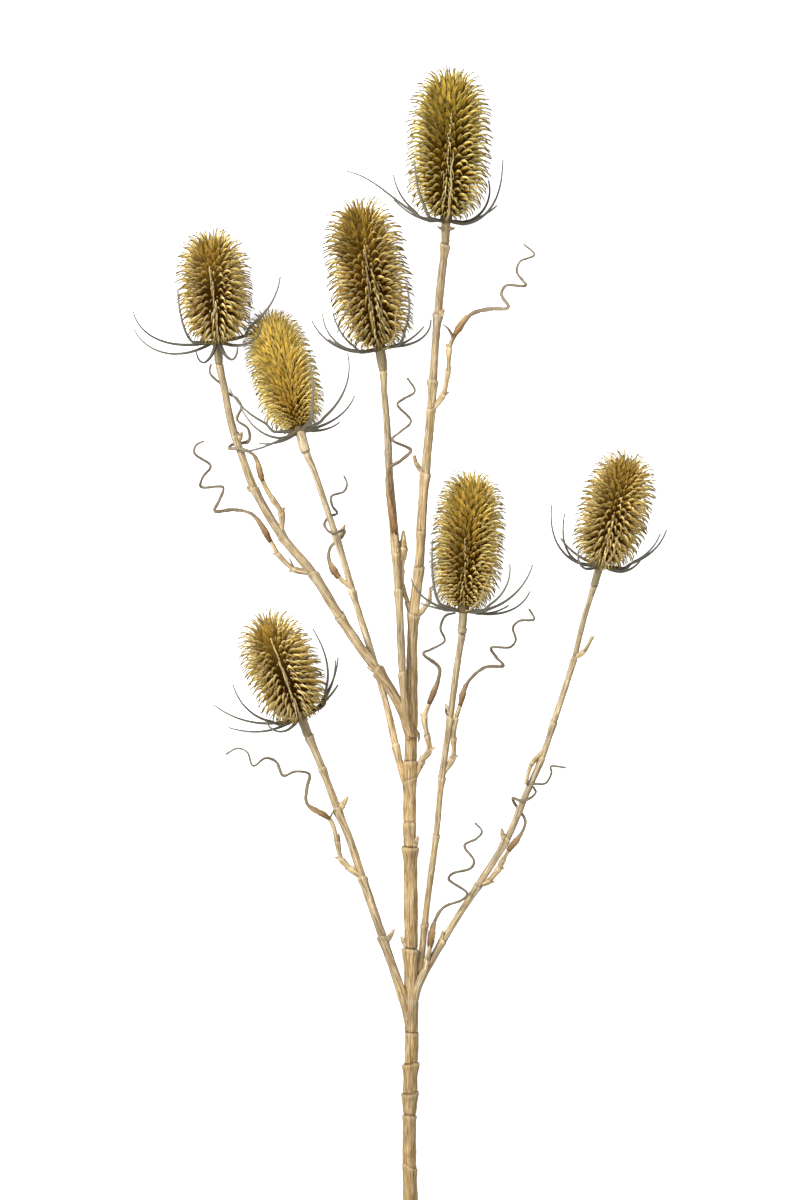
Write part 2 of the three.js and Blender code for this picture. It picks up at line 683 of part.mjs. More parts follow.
shoots.forEach((shoot, index) => {
  const solid = solidFrom(sweptTube(tendrilSamples(shoot), BLADE_SIDES));
  spray.add(pieceMesh(`tendril_${index + 1}`, solid, colours.tendril));
});

for (const head of heads) {
  const headSolid = solidFrom(headGeometry(head)).subtract(tableSolid);
  spray.add(pieceMesh(`head_${head.name}`, headSolid, colours.head));
  let bractSolid = solidFrom(discGeometry(head));
  for (const bract of head.bracts) {
    bractSolid = bractSolid.add(solidFrom(sweptTube(bractSamples(head, bract), BLADE_SIDES)));
  }
  spray.add(pieceMesh(`bracts_${head.name}`, bractSolid, colours.bract));
}

export default spray;
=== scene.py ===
import math

import bpy
import numpy as np
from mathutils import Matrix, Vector


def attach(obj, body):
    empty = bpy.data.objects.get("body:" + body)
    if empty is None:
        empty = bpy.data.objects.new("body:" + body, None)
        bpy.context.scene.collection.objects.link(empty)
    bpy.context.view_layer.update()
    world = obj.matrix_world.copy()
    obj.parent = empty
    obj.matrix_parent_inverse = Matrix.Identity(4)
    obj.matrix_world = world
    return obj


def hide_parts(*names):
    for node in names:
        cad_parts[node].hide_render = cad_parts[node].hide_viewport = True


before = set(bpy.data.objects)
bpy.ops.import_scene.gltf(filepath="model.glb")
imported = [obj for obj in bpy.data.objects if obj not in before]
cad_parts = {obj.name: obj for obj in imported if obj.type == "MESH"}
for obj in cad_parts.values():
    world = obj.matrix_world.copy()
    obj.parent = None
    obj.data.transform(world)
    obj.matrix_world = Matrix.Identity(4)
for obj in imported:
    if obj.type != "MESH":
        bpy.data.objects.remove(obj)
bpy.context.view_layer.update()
bpy.ops.object.select_all(action="DESELECT")

# all lengths below are in millimetres, and meshes are in metres
mm = 0.001
upward = np.array([0.0, 0.0, 1.0])
anyTurn = (0, 6.3)  # range for a random phase, in radians
spanSteps = 14  # steps of a smooth line between two of its points
tableGap = 0.15  # nothing sinks into the table
discHigh = 5.35  # from the end of a stem to the foot of its head
seeds = {"stem": 1, "twig": 40, "shoot": 70, "bend": 90, "thorn": 120, "tendril": 200, "head": 300,
         "bract": 500, "bractsApart": 20}


def hexColour(code):
    srgb = [int(code[i:i + 2], 16) / 255 for i in (1, 3, 5)]
    return [c / 12.92 if c <= 0.04045 else ((c + 0.055) / 1.055) ** 2.4 for c in srgb] + [1]


def addNode(tree, kind, settings=None, inputs=None, stops=None):
    node = tree.nodes.new("ShaderNode" + kind)
    for key, value in (settings or {}).items():
        setattr(node, key, value)
    for socket, value in (inputs or {}).items():
        if isinstance(value, bpy.types.NodeSocket):
            tree.links.new(value, node.inputs[socket])
        else:
            node.inputs[socket].default_value = value
    for index, (place, code) in enumerate(stops or []):  # colour stops of a ramp
        ramp = node.color_ramp.elements
        stop = ramp[index] if index < 2 else ramp.new(place)
        stop.position, stop.color = place, hexColour(code)
    return node


def startMaterial(name, look):
    material = bpy.data.materials.new(name)
    material.use_nodes = True
    tree = material.node_tree
    shader = tree.nodes["Principled BSDF"]
    shader.inputs["Roughness"].default_value = look["roughness"]
    shader.inputs["IOR"].default_value = look["ior"]
    shader.inputs["Specular IOR Level"].default_value = look["gloss"]
    return material, tree, shader


# Dry teasel spines: matte straw fibre. The eye gets dark brown valleys, which are painted shade at the
# roots of the spines and on the core, mustard shanks, keels and edges that are partly bleached and partly
# a painted highlight, and dark olive needle tips.
spineLook = {
    "roughness": 0.62, "ior": 1.46, "gloss": 0.1, "glossTint": "#d8b460",
    # the dark stops at the root are painted shade in the valleys between the spines
    "shank": [(0.0, "#2e1b02"), (0.12, "#6f4c07"), (0.3, "#9b791a"), (0.5, "#b39a4a"),
              (0.66, "#95803a"), (0.8, "#665420"), (1.0, "#463712")],
    "paleKeelAndHighlight": "#efe8c0", "topYellow": "#c1a64a",
    "top": {"From Min": 0.55, "From Max": 1.0, "To Min": 0.0, "To Max": 0.35},
    "topFade": {"From Min": 0.3, "From Max": 0.85, "To Min": 1.0, "To Max": 0.0},
    "keel": {"From Min": 0.1, "From Max": 0.8, "To Max": 0.95},
    "foot": {"From Min": 0.08, "From Max": 0.34},
    "shade": {1: 0.5, 2: 0.5}, "fleck": 0.5,
    "hue": {1: -0.007, 2: 0.5},  # turn of the hue for a warm head
    "fibreMm": 0.7,  # real fibres are about 0.1 mm and would not show
    "bumpMm": 0.12, "bumpStrength": 0.5,
}


def makeSpineMaterial(look=spineLook):
    material, tree, shader = startMaterial("dryTeaselSpine", look)
    shader.inputs["Specular Tint"].default_value = hexColour(look["glossTint"])
    along, across, tone, rise, pale, warm = [
        addNode(tree, "Attribute", {"attribute_name": name}).outputs["Fac"]
        for name in ("along", "across", "tone", "rise", "pale", "warm")]
    shank = addNode(tree, "ValToRGB", inputs={"Fac": along}, stops=look["shank"]).outputs["Color"]
    # toward the top of the head the spines are younger and yellower
    topShare = addNode(tree, "MapRange", inputs={"Value": rise, **look["top"]}).outputs["Result"]
    shankShare = addNode(tree, "MapRange", inputs={"Value": along, **look["topFade"]}).outputs["Result"]
    topMix = addNode(tree, "Math", {"operation": "MULTIPLY"},
                     {0: topShare, 1: shankShare}).outputs["Value"]
    yellowed = addNode(tree, "Mix", {"data_type": "RGBA"},
                       {0: topMix, 6: shank, 7: hexColour(look["topYellow"])}).outputs[2]
    # a narrow pale line runs down the keel, partly bleaching and partly a painted highlight
    keel = addNode(tree, "MapRange", {"interpolation_type": "SMOOTHSTEP"},
                   {"Value": across, **look["keel"]}).outputs["Result"]
    paleShare = addNode(tree, "Math", {"operation": "ADD", "use_clamp": True},
                        {0: keel, 1: pale}).outputs["Value"]
    # the pale keel and its painted highlight are left off the foot of a spine, down in the shaded valleys
    footShare = addNode(tree, "MapRange", inputs={"Value": along, **look["foot"]}).outputs["Result"]
    share = addNode(tree, "Math", {"operation": "MULTIPLY"},
                    {0: paleShare, 1: footShare}).outputs["Value"]
    paleKeelAndHighlight = addNode(tree, "Mix", {"data_type": "RGBA"},
                       {0: share, 6: yellowed, 7: hexColour(look["paleKeelAndHighlight"])}).outputs[2]
    place = addNode(tree, "TexCoord").outputs["Object"]
    fibre = addNode(tree, "TexNoise", inputs={"Vector": place, "Scale": 1000 / look["fibreMm"],
                                              "Detail": 3, "Roughness": 0.6}).outputs["Fac"]
    shade = addNode(tree, "Math", {"operation": "MULTIPLY_ADD"},
                    {0: tone, **look["shade"]}).outputs["Value"]
    fleck = addNode(tree, "Math", {"operation": "MULTIPLY_ADD"},
                    {0: fibre, 1: look["fleck"], 2: shade}).outputs["Value"]
    hue = addNode(tree, "Math", {"operation": "MULTIPLY_ADD"}, {0: warm, **look["hue"]}).outputs["Value"]
    toned = addNode(tree, "HueSaturation", inputs={"Hue": hue, "Value": fleck,
                                                   "Color": paleKeelAndHighlight}).outputs["Color"]
    bump = addNode(tree, "Bump", inputs={"Height": fibre, "Strength": look["bumpStrength"],
                                         "Distance": look["bumpMm"] * mm}).outputs["Normal"]
    tree.links.new(toned, shader.inputs["Base Color"])
    tree.links.new(bump, shader.inputs["Normal"])
    return material


# Dried hollow stem: matte tan skin with fine lengthwise fibres. The eye gets pale and brown
# streaks, dark slits at the joints, a painted highlight on the lip of each joint, painted shade in the
# crease where a stem leaves the main stem, and a greener neck under each head.
stemLook = {
    "roughness": 0.55, "ior": 1.47, "gloss": 0.3,
    "fibres": [(0.32, "#7d5c32"), (0.43, "#a88857"), (0.54, "#c3a676"), (0.66, "#e2cda6")],
    "slitsAndCreaseShade": "#3c260f", "lipHighlight": "#d8c096", "neck": "#8a7b52", "fissure": "#74542c",
    "crack": {"From Min": 0.56, "From Max": 0.68, "To Min": 0.0, "To Max": 0.8},
    "weather": {"From Min": 0.32, "From Max": 0.68, "To Min": 0.84, "To Max": 1.12},
    "warmth": {"From Min": 0.32, "From Max": 0.68, "To Min": 0.94, "To Max": 1.06},
    # what age and grey do to value, saturation and hue
    "aged": {1: -0.38, 2: 1.0}, "dulled": {1: -0.2, 2: 1.0}, "hue": {1: 0.008, 2: 0.5},
    "fibreMm": 0.7, "fissureMm": 0.6,  # both about three times the real width, so that they show
    "blotchMm": 16, "bumpMm": 0.3, "bumpStrength": 0.7,
}


def makeStemMaterial(look=stemLook):
    material, tree, shader = startMaterial("driedStemSkin", look)
    grain = addNode(tree, "Attribute", {"attribute_name": "grain"}).outputs["Vector"]
    slitsAndCreaseShade, lipHighlight, neck, age, grey = [addNode(tree, "Attribute", {"attribute_name": name}).outputs["Fac"]
                                  for name in ("slitsAndCreaseShade", "lipHighlight", "neck", "age", "grey")]
    place = addNode(tree, "TexCoord").outputs["Object"]
    fibre = addNode(tree, "TexNoise", inputs={"Vector": grain, "Scale": 1 / look["fibreMm"],
                                              "Detail": 5, "Roughness": 0.65}).outputs["Fac"]
    skin = addNode(tree, "ValToRGB", inputs={"Fac": fibre}, stops=look["fibres"]).outputs["Color"]
    # fine dark fissures between the fibres
    crack = addNode(tree, "TexNoise", inputs={"Vector": grain, "Scale": 1 / look["fissureMm"],
                                              "Detail": 2, "Distortion": 0.4}).outputs["Fac"]
    crackShare = addNode(tree, "MapRange", inputs={"Value": crack, **look["crack"]}).outputs["Result"]
    coat = skin
    # the darkest layer is the joint slits and, where a stem leaves the main stem, painted shade in the
    # crease
    for share, layer in ((crackShare, "fissure"), (neck, "neck"), (lipHighlight, "lipHighlight"), (slitsAndCreaseShade, "slitsAndCreaseShade")):
        coat = addNode(tree, "Mix", {"data_type": "RGBA"},
                       {0: share, 6: coat, 7: hexColour(look[layer])}).outputs[2]
    # broad weathered patches, lighter and darker
    blotch = addNode(tree, "TexNoise", inputs={"Vector": place, "Scale": 1000 / look["blotchMm"],
                                               "Detail": 3}).outputs["Fac"]
    weather = addNode(tree, "MapRange", inputs={"Value": blotch, **look["weather"]}).outputs["Result"]
    warmth = addNode(tree, "MapRange", inputs={"Value": blotch, **look["warmth"]}).outputs["Result"]
    aged = addNode(tree, "Math", {"operation": "MULTIPLY_ADD"},
                   {0: age, **look["aged"]}).outputs["Value"]
    dulled = addNode(tree, "Math", {"operation": "MULTIPLY_ADD"},
                     {0: grey, **look["dulled"]}).outputs["Value"]
    value = addNode(tree, "Math", {"operation": "MULTIPLY"}, {0: weather, 1: aged}).outputs["Value"]
    richness = addNode(tree, "Math", {"operation": "MULTIPLY"}, {0: warmth, 1: dulled}).outputs["Value"]
    hue = addNode(tree, "Math", {"operation": "MULTIPLY_ADD"}, {0: grey, **look["hue"]}).outputs["Value"]
    toned = addNode(tree, "HueSaturation", inputs={"Hue": hue, "Saturation": richness, "Value": value,
                                                   "Color": coat}).outputs["Color"]
    relief = addNode(tree, "Math", {"operation": "SUBTRACT"}, {0: fibre, 1: crackShare}).outputs["Value"]
    bump = addNode(tree, "Bump", inputs={"Height": relief, "Strength": look["bumpStrength"],
                                         "Distance": look["bumpMm"] * mm}).outputs["Normal"]
    tree.links.new(toned, shader.inputs["Base Color"])
    tree.links.new(bump, shader.inputs["Normal"])
    return material


# Dried bract: a stiff channelled blade. The eye gets olive grey with a paler ridge and
# browner feet.
bractLook = {
    "roughness": 0.6, "ior": 1.46, "gloss": 0.3,
    "length": [(0.0, "#5a4b2f"), (0.12, "#534d3f"), (0.5, "#5d594e"), (1.0, "#726f66")],
    "ridge": "#969080", "straw": "#b39a62", "shade": {1: 0.35, 2: 0.45}, "streak": 0.75,
    "fibreMm": 0.45,  # about three times the real width, so that it shows
    "bumpMm": 0.1, "bumpStrength": 0.5,
}


def makeBractMaterial(look=bractLook):
    material, tree, shader = startMaterial("driedBract", look)
    along, across, tone, straw = [addNode(tree, "Attribute", {"attribute_name": name}).outputs["Fac"]
                                  for name in ("along", "across", "tone", "straw")]
    grain = addNode(tree, "Attribute", {"attribute_name": "grain"}).outputs["Vector"]
    base = addNode(tree, "ValToRGB", inputs={"Fac": along}, stops=look["length"]).outputs["Color"]
    ridged = addNode(tree, "Mix", {"data_type": "RGBA"},
                     {0: across, 6: base, 7: hexColour(look["ridge"])}).outputs[2]
    strawed = addNode(tree, "Mix", {"data_type": "RGBA"},
                      {0: straw, 6: ridged, 7: hexColour(look["straw"])}).outputs[2]
    fibre = addNode(tree, "TexNoise", inputs={"Vector": grain, "Scale": 1 / look["fibreMm"],
                                              "Detail": 3}).outputs["Fac"]
    shade = addNode(tree, "Math", {"operation": "MULTIPLY_ADD"},
                    {0: tone, **look["shade"]}).outputs["Value"]
    streak = addNode(tree, "Math", {"operation": "MULTIPLY_ADD"},
                     {0: fibre, 1: look["streak"], 2: shade}).outputs["Value"]
    toned = addNode(tree, "HueSaturation", inputs={"Value": streak, "Color": strawed}).outputs["Color"]
    bump = addNode(tree, "Bump", inputs={"Height": fibre, "Strength": look["bumpStrength"],
                                         "Distance": look["bumpMm"] * mm}).outputs["Normal"]
    tree.links.new(toned, shader.inputs["Base Color"])
    tree.links.new(bump, shader.inputs["Normal"])
    return material


# Dried sheath and tendril: papery red-brown sheath, then a wiry tendril. The eye gets brown that
# fades to tan and grey brown along its length, with fine streaks.
tendrilLook = {
    "roughness": 0.6, "ior": 1.46, "gloss": 0.3,
    "length": [(0.0, "#3a2614"), (0.04, "#74542f"), (0.24, "#8b7150"), (0.38, "#766852"),
               (1.0, "#6c6455")],
    "streak": {"From Min": 0.3, "From Max": 0.7, "To Min": 0.5, "To Max": 1.42},
    "fibreMm": 0.5,  # about three times the real width, so that it shows
    "bumpMm": 0.12, "bumpStrength": 0.5,
}


def makeTendrilMaterial(look=tendrilLook):
    material, tree, shader = startMaterial("driedTendril", look)
    along, tone = [addNode(tree, "Attribute", {"attribute_name": name}).outputs["Fac"]
                   for name in ("along", "tone")]
    grain = addNode(tree, "Attribute", {"attribute_name": "grain"}).outputs["Vector"]
    base = addNode(tree, "ValToRGB", inputs={"Fac": along}, stops=look["length"]).outputs["Color"]
    fibre = addNode(tree, "TexNoise", inputs={"Vector": grain, "Scale": 1 / look["fibreMm"],
                                              "Detail": 4, "Roughness": 0.6}).outputs["Fac"]
    streak = addNode(tree, "MapRange", inputs={"Value": fibre, **look["streak"]}).outputs["Result"]
    value = addNode(tree, "Math", {"operation": "MULTIPLY"}, {0: streak, 1: tone}).outputs["Value"]
    toned = addNode(tree, "HueSaturation", inputs={"Value": value, "Color": base}).outputs["Color"]
    bump = addNode(tree, "Bump", inputs={"Height": fibre, "Strength": look["bumpStrength"],
                                         "Distance": look["bumpMm"] * mm}).outputs["Normal"]
    tree.links.new(toned, shader.inputs["Base Color"])
    tree.links.new(bump, shader.inputs["Normal"])
    return material


spineMaterial, stemMaterial = makeSpineMaterial(), makeStemMaterial()
bractMaterial, tendrilMaterial = makeBractMaterial(), makeTendrilMaterial()
print("materials mixed")


def smoothPath(points, perSpan=spanSteps):
    # the same flowing curve through the points as the solids follow
    p = [np.array(q, float) for q in points]
    p = [2 * p[0] - p[1]] + p + [2 * p[-1] - p[-2]]
    line = []
    for i in range(1, len(p) - 2):
        a, b, c, d = p[i - 1:i + 3]
        ab, bc, cd = [np.linalg.norm(v - u) ** 0.5 for u, v in ((a, b), (b, c), (c, d))]
        leave = ((b - a) / ab - (c - a) / (ab + bc) + (c - b) / bc) * bc
        arrive = ((c - b) / bc - (d - b) / (bc + cd) + (d - c) / cd) * bc
        for t in np.arange(perSpan) / perSpan:
            line.append((2 * t**3 - 3 * t**2 + 1) * b + (t**3 - 2 * t**2 + t) * leave
                        + (3 * t**2 - 2 * t**3) * c + (t**3 - t**2) * arrive)
    line.append(p[-2])
    return np.array(line)


def lengthsAlong(line):
    return np.concatenate([[0], np.cumsum(np.linalg.norm(np.diff(line, axis=0), axis=1))])


def pointsAt(line, places):
    lengths = lengthsAlong(line)
    return np.column_stack([np.interp(places, lengths, line[:, i]) for i in range(3)])


def evenly(values, shares):
    # values spread evenly from end to end, read at shares of the way
    return np.interp(shares, np.linspace(0, 1, len(values)), values)


def bell(distance):
    return np.exp(-distance ** 2)


def turnsRound(sides):
    return np.linspace(0, 2 * np.pi, sides, endpoint=False)


def layTube(line, radii, sides):
    # a path curve with a round bevel, made a mesh; returns its rings for shaping
    bpy.ops.curve.primitive_bezier_curve_add()
    curve = bpy.context.object.data
    curve.splines.clear()
    spline = curve.splines.new("POLY")
    spline.points.add(len(line) - 1)
    spline.points.foreach_set("co", np.column_stack([line * mm, np.ones(len(line))]).ravel())
    spline.points.foreach_set("radius", np.asarray(radii, float))
    curve.fill_mode = "FULL"
    curve.bevel_depth = mm
    curve.bevel_resolution = (sides - 4) // 2  # gives this number of sides
    bpy.ops.object.convert(target="MESH")
    tube = bpy.context.object
    rings = np.empty(len(tube.data.vertices) * 3)
    tube.data.vertices.foreach_get("co", rings)
    return tube, rings.reshape(len(line), sides, 3) / mm


def setRings(tube, rings):
    rings[..., 2] = np.maximum(rings[..., 2], tableGap)
    tube.data.vertices.foreach_set("co", (rings * mm).ravel())
    tube.data.update()


def paint(piece, name, values):
    kind, field = ("FLOAT", "value") if np.ndim(values) == 1 else ("FLOAT_VECTOR", "vector")
    layer = piece.data.attributes.new(name, kind, "POINT")
    layer.data.foreach_set(field, np.asarray(values, float).ravel())


def closeEnds(tube):
    bpy.context.view_layer.objects.active = tube
    bpy.ops.object.mode_set(mode="EDIT")
    bpy.ops.mesh.select_all(action="SELECT")
    bpy.ops.mesh.fill_holes(sides=0)
    bpy.ops.mesh.select_all(action="SELECT")
    bpy.ops.mesh.normals_make_consistent(inside=False)
    bpy.ops.object.mode_set(mode="OBJECT")


def joinPieces(name, parts, material, smoothAngle=50):
    bpy.ops.object.select_all(action="DESELECT")
    for part in parts:
        part.select_set(True)
    bpy.context.view_layer.objects.active = parts[0]
    if len(parts) > 1:
        bpy.ops.object.join()
    piece = bpy.context.object
    piece.name = piece.data.name = name
    piece.data.materials.clear()
    piece.data.materials.append(material)
    bpy.ops.object.shade_smooth_by_angle(angle=math.radians(smoothAngle))
    bpy.ops.object.select_all(action="DESELECT")
    return piece


def standFor(piece, node):
    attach(piece, "root")
    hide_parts(node)


# Heads, placed as the solids have them: base on the stem, turn and lean in degrees, length and reach.
# Warm and bright tint the spines, full lengthens them, dense sets more of them, and nap combs them
# to one side. Ridges have their start and end up the head and the angle there, between bare valleys.
# Bracts: azimuth (0 right, 90 up), length, and their angle from the head's axis at foot, middle and tip.
heads = {
    "top": {"stem": "main", "warm": -0.6, "bright": 0.52, "nap": 0.1,
            "base": [27.6, 250.5, 19.8], "turn": 2, "lean": 5, "length": 80, "reach": 24,
            "ridges": [[0.1, 0.78, 97, 88], [0.02, 0.45, 86, 84]],
            "bracts": [[180, 66, 88, 54, 84], [168, 44, 88, 48, 10], [130, 50, 88, 35, 5],
                       [5, 58, 112, 30, 0], [-14, 42, 105, 40, -20], [86, 54, 84, 30, 4],
                       [212, 38, 96, 70, 50], [328, 36, 96, 72, 50]]},
    "left_top": {"stem": "left_top", "warm": 1, "bright": 0.44, "full": 1.06, "dense": 1.12,
                 "valley": 0.14,
                 "base": [-109.6, 178.5, 12.2], "turn": -2.6, "lean": 22, "length": 59, "reach": 21,
                 "ridges": [[0.05, 0.85, 84, 94]],
                 "bracts": [[186, 56, 122, 82, 18], [172, 58, 94, 68, 6], [158, 46, 76, 25, -12],
                            [14, 60, 66, 44, 8], [38, 44, 94, 62, -4], [66, 36, 132, 80, 12],
                            [112, 36, 132, 84, 10], [330, 30, 98, 82, 60]]},
    "left_upper": {"stem": "left_upper", "warm": -0.4, "bright": 1.3, "dense": 1.45, "nap": 0.5,
                   "base": [-59.2, 124, 30.4], "turn": -16, "lean": -13, "length": 67, "reach": 19.4,
                   "ridges": [],
                   "bracts": [[172, 50, 66, 42, 8], [192, 36, 96, 92, 72], [152, 46, 120, 50, 4],
                              [52, 44, 80, 34, 8], [6, 58, 82, 46, 0], [-12, 40, 92, 70, 34],
                              [-30, 26, 99, 86, 60], [214, 30, 100, 80, 60]]},
    "centre": {"stem": "centre", "warm": 0.9, "bright": 0.28, "full": 1.22,
               "base": [-11.8, 174, 15.3], "turn": -9, "lean": 10, "length": 79, "reach": 21.8,
               "ridges": [[0.05, 0.8, 96, 90], [0.1, 0.6, 78, 80]],
               "bracts": [[184, 46, 97, 56, 14], [166, 46, 96, 46, -8], [148, 42, 92, 40, 6],
                          [-2, 37, 90, 76, 0], [34, 50, 82, 28, -10], [64, 42, 86, 44, 4],
                          [210, 34, 98, 74, 52], [330, 32, 98, 76, 54]]},
    "mid_right": {"stem": "mid_right", "warm": 0.1, "bright": 0.77, "dense": 1.2, "nap": 0.15,
                  "base": [37.8, 16.5, 23.2], "turn": 3.8, "lean": -4, "length": 74, "reach": 20.8,
                  "ridges": [[0.02, 0.55, 92, 96]],
                  "bracts": [[188, 24, 92, 82, 74], [172, 38, 88, 62, 16], [158, 50, 82, 16, -2],
                             [-10, 44, 97, 72, 16], [8, 52, 90, 50, 12], [24, 44, 86, 42, -14],
                             [62, 36, 90, 48, 16], [326, 32, 98, 78, 56]]},
    "right": {"stem": "right", "warm": 1, "bright": 0.59, "full": 1.08, "dense": 1.12,
              "base": [119.6, 44, 12.1], "turn": 14.6, "lean": 19, "length": 62, "reach": 20,
              "ridges": [[0.02, 0.5, 86, 92]],
              "bracts": [[182, 53, 115, 44, 8], [166, 46, 112, 36, 6], [128, 30, 112, 60, 10],
                         [0, 48, 78, 44, 0], [16, 45, 74, 42, 4], [-38, 32, 114, 86, 16],
                         [212, 30, 98, 80, 58], [80, 44, 88, 36, 4]]},
    "left_low": {"stem": "left_low", "warm": 1.1, "bright": 0.46, "full": 1.2, "dense": 1.18,
                 "valley": 0.2,
                 "base": [-58.8, -47, 11.2], "turn": -20.4, "lean": 23, "length": 59, "reach": 20,
                 "ridges": [[0.02, 0.96, 90, 88]],
                 "bracts": [[168, 54, 86, 34, -6], [188, 54, 93, 60, 28], [198, 46, 114, 84, 54],
                            [148, 29, 120, 62, 0], [18, 66, 72, 20, -12], [2, 42, 82, 44, 18],
                            [-16, 42, 84, 52, 24], [330, 30, 98, 82, 60]]},
}


def headFrame(head):
    turn, lean = math.radians(head["turn"]), math.radians(head["lean"])
    axis = np.array([math.sin(turn) * math.cos(lean), math.cos(turn) * math.cos(lean), math.sin(lean)])
    right = np.cross(axis, upward)
    right /= np.linalg.norm(right)
    up = np.cross(right, axis)
    foot = np.array(head["base"]) + axis * discHigh
    return axis, foot, right, up


